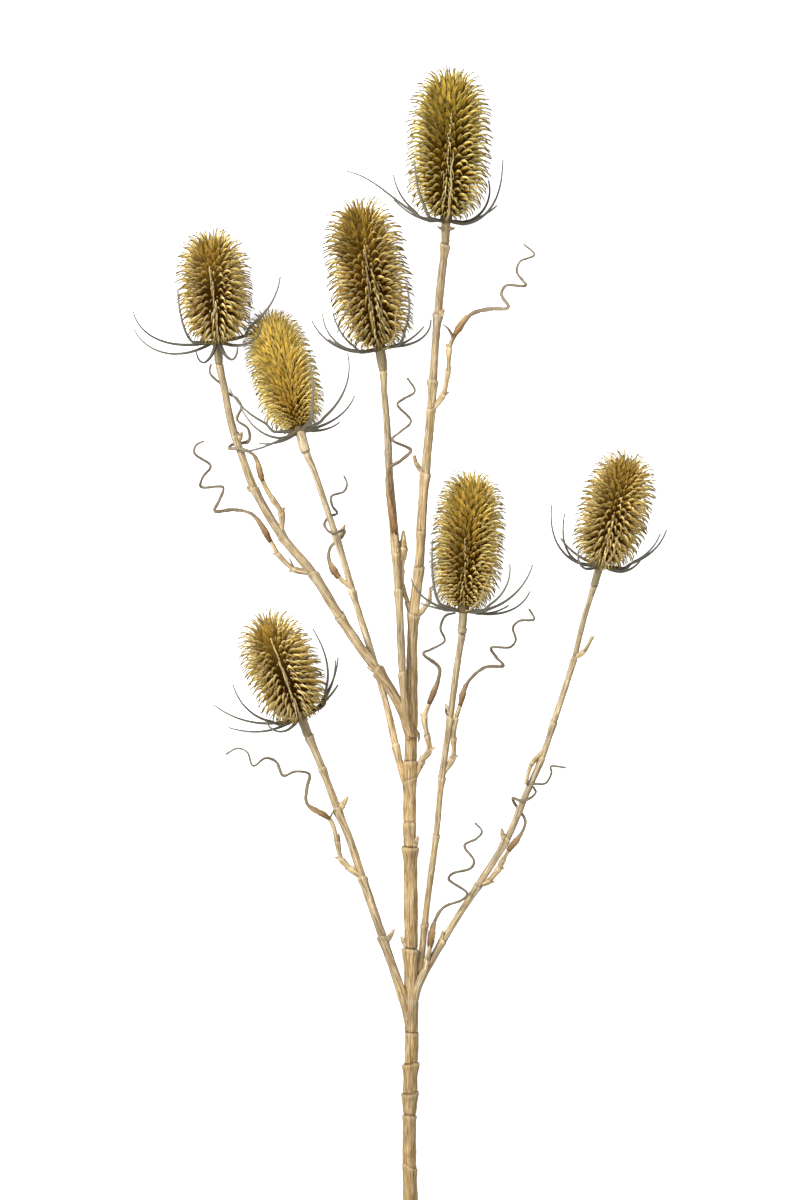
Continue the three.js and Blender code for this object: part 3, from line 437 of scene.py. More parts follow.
# Stems: neck is its swelling and how green it is, collar the swelling of the joint under it.
# Joints: y, how far it swells, how dark its slit is, how far it slants, and how far the stem is
# pinched above it. Age darkens the skin and grey dulls it, from the foot to the head.
stems = {
    "main": {"sides": 26, "neck": [1.12, 0.5], "collar": 1.5,
             "radius": [4.05, 3.8, 3.7, 3.65, 3.4, 2.75, 2.5, 2.2, 2.1],
             "age": [0.95, 0.92, 0.85, 0.72, 0.6, 0.58, 0.85, 0.5, 0.3, 0.5, 0.72, 0.82, 0.8],
             "grey": [0, 0, 0, 0, 0, 0, 0, 0.3, 0.3, 0.4, 0.7, 0.75, 0.8],
             "path": [[6.3, -344, 3.9], [5.7, -300, 5.2], [6.1, -268, 6.3], [6.9, -236, 7.4],
                      [6.2, -155, 9.5], [5.9, -95, 11.2], [6.6, -55, 12.6], [6.8, -29, 13.3],
                      [7.9, 13, 14.5], [11.5, 45, 15.6], [13.8, 85, 16.6], [18.9, 141, 17.8],
                      [21, 175, 18.4], [24.6, 217, 19]],
             "joints": [[-316.5, 1.14, 0.8, 2.2], [-286, 1.08, 1.0, 0.4, 0.2],
                        [-272, 1.24, 0.7, 1.0, 0.05], [-254.5, 1.24, 0.8, 0.8, 0.04],
                        [-235.5, 1.06, 1.0, 0.4], [-185.2, 1.38, 1.0, 0.5, 0.03],
                        [-123.4, 1.4, 1.0, 0.6, 0.03], [-109, 1.06, 0.9, 0.3], [-83, 1.16, 0.5, 1.6],
                        [-72, 1.08, 0.9, 0.4], [17, 1.22, 0.4, 1.4], [45, 1.1, 0.5, 0.8],
                        [66, 1.12, 0.6, 0.6], [102, 1.28, 0.5, 1.2], [141, 1.25, 0.5, 1.4],
                        [157, 1.3, 0.4, 0.8], [197, 1.4, 0.8, 0.6, 0.04]]},
    "right": {"sides": 18, "neck": [1.4, 0.75], "collar": 1.2, "radius": [2.15, 1.95, 1.75, 1.6],
              "age": [0.72, 0.45, 0.5, 0.62, 0.5], "grey": [0.6, 1.0, 1.0, 1.0],
              "path": [[6.6, -226, 7.5], [11.8, -205, 13], [20.4, -189, 14], [31.2, -171, 14],
                       [47.4, -146, 13.5], [64.2, -119, 12.5], [75.2, -93, 12], [86.2, -68, 11.5],
                       [92.8, -48, 11], [103.8, -14, 10], [110.6, 13, 9]],
              "joints": [[-180, 1.2, 0.4, 1], [-146, 1.3, 0.35, 1.5], [-119, 1.28, 0.4, 1.2],
                         [-70, 1.15, 0.2, 1], [-48, 1.25, 0.4, 0.8], [-10, 1.25, 0.3, 1]]},
    "mid_right": {"sides": 18, "neck": [1.4, 0.6], "collar": 1.2, "radius": [1.7, 1.75, 1.75],
                  "age": [0.7, 0.55, 0.62], "grey": [0.3, 0.7, 0.8],
                  "path": [[7.5, -222, 7], [12.3, -196, 7.5], [15, -170, 9], [18, -146, 10.5],
                           [21.9, -116, 13], [25.2, -81, 15.5], [30.2, -45, 18.5], [34.2, -14, 21.8]],
                  "joints": [[-170, 1.3, 0.4, 1], [-116, 1.25, 0.5, 0.6], [-81, 1.32, 0.3, 1],
                             [-45, 1.38, 0.4, 1.2], [8, 1.15, 0.3, 0.5]]},
    "left_low": {"sides": 18, "neck": [1.25, 0.45], "collar": 1.25, "radius": [2.6, 2.35, 2.05, 1.95],
                 "age": [0.55, 0.58, 0.65, 0.62], "grey": [0.2, 0.6, 0.8, 0.8],
                 "path": [[6.4, -230, 7.6], [0.6, -210, 9.5], [-8.4, -184, 10], [-20.8, -148, 10],
                          [-30.6, -118, 9.5], [-37.6, -101, 9], [-47.4, -75, 8]],
                 "joints": [[-178, 1.4, 0.5, 1.5], [-142, 1.35, 0.3, 1], [-101, 1.35, 0.4, 1.5],
                            [-76, 1.2, 0.3, 0.8], [-56, 1.2, 0.4, 0.6]]},
    "left_top": {"sides": 18, "neck": [1.3, 0.5], "collar": 1.2, "radius": [2.75, 2.75, 2.4, 2.1, 1.9],
                 "age": [0.85, 0.56, 0.62, 0.72, 0.66], "grey": [0, 0.7, 0.8, 0.9, 0.9],
                 "path": [[6.6, -57, 14.6], [1.2, -41, 17.2], [-13.2, -17.4, 18.5], [-23.4, -3.6, 18.5],
                          [-38.4, 18.6, 17.5], [-52.4, 41, 16], [-71.6, 64.5, 14], [-88.2, 93, 12],
                          [-96, 114, 11], [-102, 133, 10], [-106.2, 154, 9]],
                 "joints": [[-17, 1.3, 0.4, 2], [16, 1.3, 0.6, 2], [41, 1.28, 0.3, 1.5],
                            [65, 1.35, 0.4, 2], [92, 1.25, 0.5, 1], [125, 1.3, 0.6, 1.2]]},
    "centre": {"sides": 18, "neck": [1.4, 0.6], "collar": 1.2,
               "radius": [2.0, 2.05, 2.2, 2.45, 2.15, 1.8, 1.9],
               "age": [0.9, 0.7, 0.64, 0.88, 0.84, 0.84, 0.88], "grey": [0, 0.6, 0.7, 0.5, 0.6, 0.8, 0.7],
               "path": [[5.4, -58, 14.5], [3.6, -43.8, 18.5], [1.6, -22, 20], [0.6, 1.2, 20.5],
                        [-0.9, 31, 20], [-2.7, 55, 19], [-4.6, 79, 18], [-6.4, 103, 17], [-7.8, 130, 16],
                        [-9.6, 152, 15]],
               "joints": [[-18, 1.25, 0.5, 0.6], [31, 1.2, 0.4, 0.8], [60, 1.15, 0.3, 0.8],
                          [115, 1.12, 0.2, 1]]},
    "left_upper": {"sides": 18, "neck": [1.6, 0.1], "collar": 1.2, "radius": [2.0, 1.75],
                   "age": [0.2, -0.15, -0.3, -0.15, 0.0, 0.35], "grey": [0.2, 0.8, 1.2, 1.2, 1.2],
                   "path": [[4.6, -88, 10.5], [-0.4, -72.6, 10.5], [-5.6, -48, 10.5],
                            [-11.4, -25.8, 10.5], [-19, -0.6, 12], [-25.2, 19.2, 15], [-31.4, 40.2, 19],
                            [-38.6, 64.2, 24], [-45, 83.4, 28], [-52.2, 104.4, 32]],
                   "joints": [[-62, 1.25, 0.4, 1], [31, 1.3, 0.3, 1.2], [64, 1.3, 0.3, 1]]},
}

# girths and depths are shares of the radius
stemShape = {
    "thick": 1.1, "step": 2.6, "leastStep": 0.12, "rough": 0.012, "twist": 0.006,
    "closeRun": 26, "closeStep": 0.8,  # closer rings where it leaves the main stem
    # crease: painted shade where a stem leaves the main stem, its strength, width and reach up the stem
    "rootFlare": 1.2, "rootRun": 16.0, "creaseShade": 0.7, "creaseShadeWide": 0.5, "creaseShadeWithin": 45,
    "flutes": [(2, 0.03), (3, 0.045), (5, 0.04), (9, 0.02)],
    "wander": [(13, 0.02), (29, 0.025), (61, 0.025)],  # wavelength, share of the girth
    "grainLeast": 1.2, "grainStretch": 0.06, "grainApart": 7.3,
}

jointShape = {
    # rings about a joint, and the span where they replace the even ones
    "rings": [-8, -6.5, -5, -3.8, -2.8, -2, -1.3, -0.7, -0.25, 0.1, 0.4, 0.7, 1.1, 1.6, 2.3, 3.2],
    "span": (-8.5, 4), "run": 9.0, "curve": 1.6, "bulge": 1.3, "dip": 0.4, "dipRun": 0.7, "edge": 0.78,
    "slantRun": 5, "lobes": (0.25, 0.2), "rough": 0.05, "roughRun": 1.5, "pinchRun": 2.6,
    "slitAt": 0.55, "slitWide": 0.4, "slitDepth": 0.1, "slitUneven": 0.25,
    "lipHighlight": 0.45, "lipHighlightAt": -0.8, "lipHighlightWide": 0.9,
}

neckShape = {"length": 12.0, "into": 2, "joint": [0.7, 0.6, 0.03], "start": 0.3, "blend": 0.6,
             "foot": 0.8, "ring": 0.05, "ringRate": 2.6}

sleeveShape = {"wider": 0.14, "run": 10, "slant": 0.7, "slantRun": 5, "dark": 0.9, "edgeWide": 0.9}

cutShape = {"wall": 1.1, "rim": 0.2, "sunken": 1.6}


def jointStations(total, joints):
    low, high = jointShape["span"]
    places = list(np.linspace(0, total, max(int(total / stemShape["step"]), 4)))
    for joint in joints:
        places = [p for p in places if not low < p - joint < high] + [joint + n for n in jointShape["rings"]]
    places = sorted(p for p in places if 0 <= p <= total)
    return np.array([p for i, p in enumerate(places)
                     if i == 0 or p - places[i - 1] > stemShape["leastStep"]])


def growStalk(line, radii, joints, sides, seed, trunk=None, neck=0.0, neckSwell=1.0, neckGreen=0.0,
              age=(0.3, 0.3), grey=(0.6, 0.6), sleeve=False, stain=0.0):
    shape, knot = stemShape, jointShape
    rng = np.random.default_rng(seed)
    total = lengthsAlong(line)[-1]
    d = jointStations(total, [joint[0] for joint in joints])
    if trunk:
        d = np.concatenate([np.arange(0, shape["closeRun"], shape["closeStep"]), d[d > shape["closeRun"]]])
    radius = evenly(radii, d / total) * shape["thick"]
    for length, share in shape["wander"]:
        radius = radius * (1 + share * np.sin(2 * np.pi * d / length + rng.uniform(*anyTurn)))
    if trunk:
        radius = radius * (1 + (shape["rootFlare"] - 1) * np.clip(1 - d / shape["rootRun"], 0, 1) ** 2)
    spine = pointsAt(line, d)
    tube, rings = layTube(spine, radius, sides)
    angle = turnsRound(sides)[None, :]
    far = d[:, None] + 0 * angle
    girth, slitsAndCreaseShade, lipHighlight = np.ones_like(far), np.full_like(far, stain), np.zeros_like(far)
    # a joint swells slowly and unevenly, ends in a lip with a painted highlight and drops into a slit that
    # slants
    for place, swell, dark, slant, pinch in joints:
        lean, lump = rng.uniform(*anyTurn, 2)
        past = far - place - slant * np.cos(angle - lean) * bell((far - place) / knot["slantRun"])
        lobes = (1 + knot["lobes"][0] * np.cos(2 * angle + lump)
                 + knot["lobes"][1] * np.cos(3 * angle + lean))
        dip = 1 - knot["dip"] * np.exp(np.minimum(past, 0) / knot["dipRun"])
        bulge = knot["bulge"] * np.clip(1 + past / knot["run"], 0, 1) ** knot["curve"] * dip
        rise = np.where(past < 0, bulge, knot["edge"] * np.clip(1 - past / knot["slitAt"], 0, 1))
        above = np.where(past > knot["slitAt"], np.exp(-(past - knot["slitAt"]) / knot["pinchRun"]), 0)
        groove = bell((past - knot["slitAt"]) / knot["slitWide"])
        rough = knot["rough"] * rng.normal(size=far.shape) * bell(past / knot["roughRun"])
        girth += (swell - 1) * lobes * rise + rough - knot["slitDepth"] * dark * groove - pinch * above
        uneven = 1 - knot["slitUneven"] * (1 - np.cos(angle + lump))
        slitsAndCreaseShade = np.maximum(slitsAndCreaseShade, dark * groove * uneven)
        # painted highlight: a pale band along the swollen lip of the joint
        lipHighlight = np.maximum(lipHighlight, knot["lipHighlight"] * bell((past - knot["lipHighlightAt"]) / knot["lipHighlightWide"]))
    # the neck is finely ringed
    upNeck = far - total + neck
    neckShare = np.clip((upNeck - neckShape["start"]) / neckShape["blend"], 0, 1) if neck else 0 * far
    fuller = neckShape["foot"] + (1 - neckShape["foot"]) * np.clip(upNeck / neckShape["length"], 0, 1)
    girth *= 1 + (neckSwell - 1) * neckShare * fuller
    girth += neckShape["ring"] * neckShare * np.sin(far * neckShape["ringRate"] + np.cos(angle))
    # lengthwise flutes that change from joint to joint
    part = np.searchsorted(sorted(joint[0] for joint in joints), d - knot["slitAt"])
    for many, depth in shape["flutes"]:
        phase = rng.uniform(*anyTurn, len(joints) + 1)[part][:, None]
        girth += depth * np.cos(many * (angle + far * shape["twist"]) + phase)
    girth += shape["rough"] * rng.normal(size=far.shape)
    offset = (rings - spine[:, None, :]) * girth[..., None]
    rings = spine[:, None, :] + offset
    if sleeve:  # its foot is a sleeve that ends in a slanting edge
        wider = 1 + sleeveShape["wider"] * bell(far / sleeveShape["run"])[..., None]
        rings = spine[:, None, :] + offset * wider
        rings[..., 1] -= sleeveShape["slant"] * offset[..., 0] * bell(far / sleeveShape["slantRun"])
        slitsAndCreaseShade = np.maximum(slitsAndCreaseShade, sleeveShape["dark"] * bell(far / sleeveShape["edgeWide"]))
    # painted shade: the crease where it meets the main stem is darkened
    if trunk:  # a dark crease where it meets the main stem
        trunkLine, trunkRadius = trunk
        away = np.linalg.norm(rings[:, :, None, :] - trunkLine[None, None, ::3, :], axis=-1)
        gap = away.min(-1) - np.interp(rings[..., 1], trunkLine[:, 1], trunkRadius)
        creaseShade = shape["creaseShade"] * bell(gap / shape["creaseShadeWide"])
        slitsAndCreaseShade = np.maximum(slitsAndCreaseShade, creaseShade * (far < shape["creaseShadeWithin"]))
    setRings(tube, rings)
    wide = np.maximum(radius, shape["grainLeast"])[:, None]
    grain = np.stack([wide * np.cos(angle), wide * np.sin(angle),
                      far * shape["grainStretch"] + seed * shape["grainApart"]], -1)
    paint(tube, "grain", grain.reshape(-1, 3))
    aged, greyed = [evenly(v, d / total)[:, None] + 0 * far for v in (age, grey)]
    for name, values in (("slitsAndCreaseShade", slitsAndCreaseShade), ("lipHighlight", lipHighlight), ("neck", neckShare * neckGreen), ("age", aged),
                         ("grey", greyed)):
        paint(tube, name, values.ravel())
    closeEnds(tube)
    return tube


def cutEnd(tube):
    # the sawn foot of the main stem shows a wall and a sunken pith
    bpy.ops.object.mode_set(mode="EDIT")
    bpy.ops.mesh.select_all(action="DESELECT")
    bpy.ops.object.mode_set(mode="OBJECT")
    face = min(tube.data.polygons, key=lambda f: f.center.y + (0 if len(f.vertices) > 4 else 1))
    face.select = True
    bpy.ops.object.mode_set(mode="EDIT")
    bpy.ops.mesh.inset(thickness=cutShape["wall"] * mm, depth=0)
    bpy.ops.mesh.inset(thickness=cutShape["rim"] * mm, depth=-cutShape["sunken"] * mm)
    bpy.ops.object.mode_set(mode="OBJECT")


# short twigs and buds: stem, radius at both ends, line
twigs = [
    ["main", [1.3, 1], [[14, 101, 17], [9.6, 107.5, 18], [8.2, 112, 18.5]]],
    ["main", [1.5, 0.7], [[8.5, 14, 14.5], [14.4, 20, 15], [17.8, 25.5, 15], [18, 33, 15]]],
    ["main", [1.35, 1.2], [[7.4, 13, 14.5], [4.4, 24, 14.8], [1.2, 34, 15.2], [1.2, 43, 16.4],
                           [1.9, 50, 18]]],
    ["main", [1.9, 0.5], [[1.9, 49, 18], [2, 57, 19.3], [2.1, 67, 20]]],
    ["main", [1.2, 0.5], [[24, 195.5, 20], [26.6, 200.4, 21.5]]],
    ["main", [1.5, 0.5], [[4.5, -184, 9.5], [0.6, -177.5, 11.5]]],
    ["main", [1.5, 0.5], [[8, -124, 11], [10.8, -117, 12.5]]],
    ["right", [1.4, 1], [[104, -10.5, 10], [110.6, -6, 11], [116, 3.5, 12]]],
    ["right", [1.4, 0.5], [[62.5, -119, 13], [61, -112, 15]]],
    ["right", [1.4, 0.9], [[86, -66, 12], [79, -74, 13.5], [75.5, -86, 14]]],
    ["left_low", [1.5, 0.5], [[-37, -102, 9], [-31.2, -93, 10]]],
    ["left_top", [1.4, 0.5], [[-97.8, 121, 11], [-95, 126.4, 10.5]]],
    ["left_upper", [1.4, 0.5], [[-37.2, 63, 24], [-32.8, 70.5, 22.5]]],
    ["mid_right", [1.3, 0.5], [[30, -46, 18.5], [27.4, -37, 19.5]]],
    ["left_top", [1.3, 0.5], [[-14, -17.5, 18.5], [-20, -14.5, 20]]],
    ["left_top", [1.3, 0.5], [[-88, 91, 12.5], [-93, 93.5, 13.5]]],
    ["left_low", [1.3, 0.5], [[-8.5, -181, 10.5], [-3.4, -173, 12]]],
    ["right", [1.2, 0.5], [[25, -181, 14.5], [25.6, -173.5, 17]]],
]

# thorns and shrunken leaflets: stem, radius, line
thorns = [
    ["main", 0.9, [[32, 182, 23], [29.4, 187.2, 24.5], [25.8, 190.2, 25]]],
    ["left_top", 0.7, [[-63.4, 43.6, 14.5], [-66.6, 50.6, 16.5]]],
    ["left_top", 1.0, [[9.4, -53, 17.5], [11.4, -56, 17], [11, -60.5, 16]]],
    ["left_low", 0.7, [[-36.4, -120, 10], [-36.8, -115, 12.5]]],
    ["left_low", 0.7, [[-42.4, -107.5, 10.8], [-41.4, -104, 12], [-39, -100.8, 12.5]]],
    ["mid_right", 0.8, [[29.4, -44, 19.5], [27.6, -42.6, 20.5], [27.2, -39.8, 21]]],
    ["main", 1.1, [[26, 248, 21.5], [24, 248, 22.5], [22.4, 249.2, 23]]],
    ["main", 1.2, [[29, 248, 21.5], [31, 247.6, 22.5], [33, 248.2, 23]]],
]

# shoots: stem, number of the point where the sheath starts, line from the stem to the tip
shoots = [
    ["main", 4, [[19.5, 139, 18], [26, 148.8, 19], [28.8, 163, 20.5], [29.6, 176, 21.5],
                 [32.6, 183.5, 22.5], [42, 196, 23], [53, 199.6, 20.5], [65, 200.4, 24],
                 [60.8, 208.5, 21], [63.5, 213.6, 24], [75.4, 213.8, 22], [70.2, 222, 19.5],
                 [72, 228, 22], [80.6, 232.2, 21], [74.4, 238.8, 19]]],
    ["left_top", 3, [[-71.4, 64.5, 14], [-71.6, 78, 14.5], [-77, 86.5, 15], [-82.4, 96.5, 15],
                     [-87.6, 112, 15.5], [-95.4, 116, 16], [-102.8, 116.4, 12], [-101, 119, 6],
                     [-91.4, 121, 7.5], [-91.6, 128.4, 13], [-98, 133.6, 15], [-95.6, 141, 11],
                     [-98.4, 146.6, 7.5], [-103.6, 150, 5.5], [-108, 155.4, 4], [-114.6, 162, 8],
                     [-113.6, 168, 11]]],
    ["left_top", 3, [[-52.5, 41.5, 16], [-63.6, 43.8, 14], [-73.2, 52.8, 12.5], [-77.6, 60, 12],
                     [-88.6, 76.6, 12], [-100, 79.6, 9], [-111.4, 78.8, 12.5], [-109, 85, 9],
                     [-106.4, 93, 13], [-120, 93.4, 10], [-118.4, 99.4, 13.5], [-114, 106, 10],
                     [-123.6, 113.4, 13], [-122.6, 118.6, 10], [-117, 121.2, 11]]],
    ["left_upper", 1, [[-28, 32, 17.5], [-36.4, 38.6, 18], [-42.6, 49.6, 18.5], [-41.6, 57, 17.5],
                       [-34.4, 63.4, 18.5], [-34, 67, 26.5], [-40.4, 65, 30], [-45.4, 70.4, 25],
                       [-42, 75.4, 21], [-37.6, 77, 24.5], [-40.4, 81.4, 32.5], [-41, 87, 34],
                       [-33.6, 90, 31], [-31.6, 94.6, 34], [-33.6, 99.4, 32]]],
    ["centre", 2, [[-1.8, 43, 19.5], [-2, 54, 22], [-3, 64, 23.5], [-6.8, 103, 22.2], [0.6, 109, 19],
                   [6.6, 115.2, 16], [-4.6, 121.4, 21.5], [0.6, 126.4, 19], [6.6, 132.6, 16],
                   [-1.6, 142.6, 21.5], [2.4, 146, 19], [9, 150.6, 16.5], [4, 159, 19]]],
    ["mid_right", 4, [[24.6, -81, 15.5], [31.6, -69.6, 16], [32.2, -57, 17.5], [33.6, -46, 18.5],
                      [36, -38.4, 19], [40.6, -24.4, 20], [51, -15.2, 23], [62, -14.2, 20],
                      [58, -9.4, 17], [54.6, -3.4, 20], [66, -3, 23], [69.4, 1.2, 20], [67.8, 8.6, 17],
                      [71.6, 12.6, 20], [80.6, 13.6, 18], [77.4, 20, 16]]],
    ["main", 5, [[8, -84, 11.8], [13.4, -71.4, 12.5], [17.6, -65, 13], [16.2, -55.8, 13],
                 [14.8, -45.4, 13], [17.4, -37.6, 13], [23, -23, 13.5], [23.6, -15.6, 12], [14, -7, 15],
                 [19, -4.4, 12], [27, 0.6, 10], [24.4, 8, 13], [27.4, 15.6, 10.5], [34, 17.6, 12]]],
    ["right", 4, [[47.4, -146, 13.5], [53.4, -143.6, 13.5], [59.4, -136.6, 13.5], [62, -131, 13.5],
                  [64.8, -126, 13.5], [73.4, -114.6, 13], [75.4, -107.6, 10], [70, -99, 5.5],
                  [67.8, -94.2, 10], [74.6, -95.4, 17.5], [81.6, -90.6, 15], [79.6, -85.6, 17.6],
                  [87.4, -85, 15], [91.2, -78.6, 11], [90.6, -75, 13.5], [100.2, -75.6, 16]]],
    ["right", 2, [[15.4, -198, 14], [16.4, -191, 16], [18, -183.6, 17], [21, -167.2, 18.5],
                  [26.4, -159, 20], [37, -154.8, 21], [40.4, -151, 20], [29.2, -142.6, 15.5],
                  [31, -139.4, 17], [42.6, -135.6, 20], [44.4, -131.4, 18], [38.8, -122.4, 15.5],
                  [46.2, -118, 18], [49.2, -113.6, 20], [44.4, -108, 17]]],
    ["left_low", 4, [[-21, -143, 10], [-30, -136.4, 10], [-35.6, -130.4, 10], [-38, -120, 10],
                     [-42.4, -107, 10.5], [-56, -97.4, 11], [-56, -88, 8.5], [-54.6, -79.6, 11.5],
                     [-63, -78, 14], [-70.4, -80.6, 11], [-74.6, -72.4, 8.5], [-81, -70, 11],
                     [-88.4, -74.6, 14], [-92, -66.4, 11.5], [-98, -64.2, 9], [-105, -67.8, 11]]],
]

# radii as shares of the first one; a knot is swelling, darkness, slant and pinch
twigShape = {"sides": 10, "budTip": 0.5, "bud": [0.9, 1.0, 1.05, 0.95, 0.7, 0.35], "budKnot": 0.45,
             "steps": 5, "knot": [1.25, 0.5, 0.5, 0]}
thornShape = {"sides": 8, "middle": 0.8, "tip": 0.25, "age": (0.5, 0.9), "stain": 0.5}
shootShape = {"sides": 12, "radii": [1.55, 1.4, 1.25, 1.2], "knot": [1.4, 0.35, 0.8, 0],
              "step": 0.5, "intoSheath": 2.2,
              "bendThorn": 2.4, "bendSteps": 6, "bendRadii": [1.3, 1.1, 0.35], "bendLeast": 0.2}


def growTwig(radii, path, seed):
    shape = twigShape
    line = smoothPath(path)
    lengths = lengthsAlong(line)
    if radii[1] <= shape["budTip"]:
        shares, knots = shape["bud"], [lengths[-1] * shape["budKnot"]]
    else:
        shares, knots = np.linspace(1, radii[1] / radii[0], shape["steps"]), lengths[spanSteps:-1:spanSteps]
    joints = [[knot, *shape["knot"]] for knot in knots]
    return growStalk(line, [radii[0] * s for s in shares], joints, shape["sides"], seed)


def growShoot(sheath, path, index):
    # the twig up to the sheath, with a small thorn on the outside of each bend
    shape = shootShape
    line = smoothPath(path)
    lengths = lengthsAlong(line)
    knots = [[knot, *shape["knot"]] for knot in lengths[spanSteps:sheath * spanSteps:spanSteps]]
    end = lengths[sheath * spanSteps] + shape["intoSheath"]
    line = pointsAt(line, np.arange(0, end, shape["step"]))
    parts = [growStalk(line, shape["radii"], knots, shape["sides"], seeds["shoot"] + index)]
    points = [np.array(point, float) for point in path]
    for before, bend, after in zip(points, points[1:sheath], points[2:]):
        arrive = (bend - before) / np.linalg.norm(bend - before)
        outward = arrive - (after - bend) / np.linalg.norm(after - bend)
        outward = outward / max(np.linalg.norm(outward), shape["bendLeast"]) + arrive
        steps = np.linspace(0, shape["bendThorn"], shape["bendSteps"])
        spike = np.array([bend + outward * step for step in steps])
        parts.append(growStalk(spike, shape["bendRadii"], [], thornShape["sides"], seeds["bend"] + index))
    return parts


def growThorn(radius, path, seed):
    shape = thornShape
    return growStalk(smoothPath(path), [radius, radius * shape["middle"], shape["tip"]], [], shape["sides"],
                     seed, age=shape["age"], stain=shape["stain"])


trunk = None  # line and radius of the main stem, which comes first
for order, (name, stem) in enumerate(stems.items()):
    head = next(h for h in heads.values() if h["stem"] == name)
    axis, base = headFrame(head)[0], np.array(head["base"])
    line = smoothPath(stem["path"] + [list(base - axis * neckShape["length"]),
                                      list(base + axis * neckShape["into"])])
    lengths = lengthsAlong(line)
    places = np.interp([joint[0] for joint in stem["joints"]], line[:, 1], lengths)
    joints = [[place, *joint[1:], 0][:5] for place, joint in zip(places, stem["joints"])]
    neck = neckShape["length"] + neckShape["into"]
    joints.append([lengths[-1] - neck, stem["collar"], *neckShape["joint"]])
    neckSwell, neckGreen = stem["neck"]
    parts = [growStalk(line, stem["radius"], joints, stem["sides"], seeds["stem"] + order, trunk=trunk,
                       neck=neck, neckSwell=neckSwell, neckGreen=neckGreen, age=stem["age"],
                       grey=stem["grey"], sleeve=name == "left_top")]
    if name == "main":
        trunk = line, evenly(stem["radius"], lengths / lengths[-1])
        cutEnd(parts[0])
    for index, (owner, radii, path) in enumerate(twigs):
        if owner == name:
            parts.append(growTwig(radii, path, seeds["twig"] + index))
    for index, (owner, sheath, path) in enumerate(shoots):
        if owner == name:
            parts.extend(growShoot(sheath, path, index))
    for index, (owner, radius, path) in enumerate(thorns):
        if owner == name:
            parts.append(growThorn(radius, path, seeds["thorn"] + index))
    piece = joinPieces("driedStem_" + name, parts, stemMaterial)
    standFor(piece, "stem_" + name)
print("stems grown")


# sheaths and tendrils; tones and widths are for each of the shoots
tendrilShape = {
    "sides": 10, "step": 1.0, "spanSteps": 20, "start": 0.2,
    "sheathRadius": 2.25, "radius": 1.05, "tipRadius": 0.66, "sheathCurve": 0.85,
    "footShare": 0.62, "footRun": 14, "belly": 0.16, "wave": 0.05, "waveRate": 0.9, "wavePhase": (0, 6),
    "rough": 0.03, "edges": (0.14, 0.07), "twist": 0.1, "reliefRough": 0.05,
    "sheathColour": 0.36,  # share of the colours along it that is the sheath's
    "grainWide": 1.2, "grainStretch": 0.07, "grainApart": 9.1,
    "tones": [1.3, 1.3, 1.0, 1.1, 1.1, 1.0, 0.9, 1.0, 1.0, 1.0],
    "widths": [1.15, 1.0, 1.05, 1.0, 1.0, 1.0, 1.0, 1.0, 1.0, 1.0],
}


def windTendril(index, sheath, path):
    shape = tendrilShape
    sides, steps = shape["sides"], shape["spanSteps"]
    rng = np.random.default_rng(seeds["tendril"] + index)
    line = smoothPath(path, steps)
    lengths = lengthsAlong(line)
    start, total = lengths[sheath * steps] + shape["start"], lengths[-1]
    sheathEnd = lengths[(sheath + 1) * steps]
    d = np.arange(start, total, shape["step"])
    inSheath = np.clip((d - start) / (sheathEnd - start), 0, 1)
    inTendril = np.clip((d - sheathEnd) / (total - sheathEnd), 0, 1)
    sheathExtra = (shape["sheathRadius"] - shape["radius"]) * (1 - inSheath) ** shape["sheathCurve"]
    tendrilExtra = (shape["tipRadius"] - shape["radius"]) * inTendril
    radius = shape["radius"] + np.where(d < sheathEnd, sheathExtra, tendrilExtra)
    foot = shape["footShare"] + (d - start) / shape["footRun"]
    radius *= np.clip(foot, shape["footShare"], 1) * (1 + shape["belly"] * np.sin(np.pi * inSheath))
    radius *= shape["widths"][index]
    wave = np.sin(d * shape["waveRate"] + rng.uniform(*shape["wavePhase"]))
    radius *= 1 + shape["wave"] * wave + shape["rough"] * rng.normal(size=len(d))
    spine = pointsAt(line, d)
    tube, rings = layTube(spine, radius, sides)
    angle = turnsRound(sides)[None, :]
    relief = (1 + shape["edges"][0] * np.cos(2 * angle + d[:, None] * shape["twist"])
              + shape["edges"][1] * np.cos(3 * angle + 1))
    relief = relief + shape["reliefRough"] * rng.normal(size=relief.shape)
    setRings(tube, spine[:, None, :] + (rings - spine[:, None, :]) * relief[..., None])
    along = shape["sheathColour"] * inSheath + (1 - shape["sheathColour"]) * inTendril
    paint(tube, "along", np.repeat(along, sides))
    paint(tube, "tone", np.full(len(d) * sides, shape["tones"][index]))
    wide, far = shape["grainWide"], d[:, None] + 0 * angle
    grain = np.stack([wide * np.cos(angle) + 0 * far, wide * np.sin(angle) + 0 * far,
                      far * shape["grainStretch"] + index * shape["grainApart"]], -1)
    paint(tube, "grain", grain.reshape(-1, 3))
    closeEnds(tube)
    return tube


for index, (owner, sheath, path) in enumerate(shoots):
    tendril = windTendril(index, sheath, path)
    piece = joinPieces(f"driedTendril_{index + 1}", [tendril], tendrilMaterial)
    standFor(piece, f"tendril_{index + 1}")
print("tendrils wound")


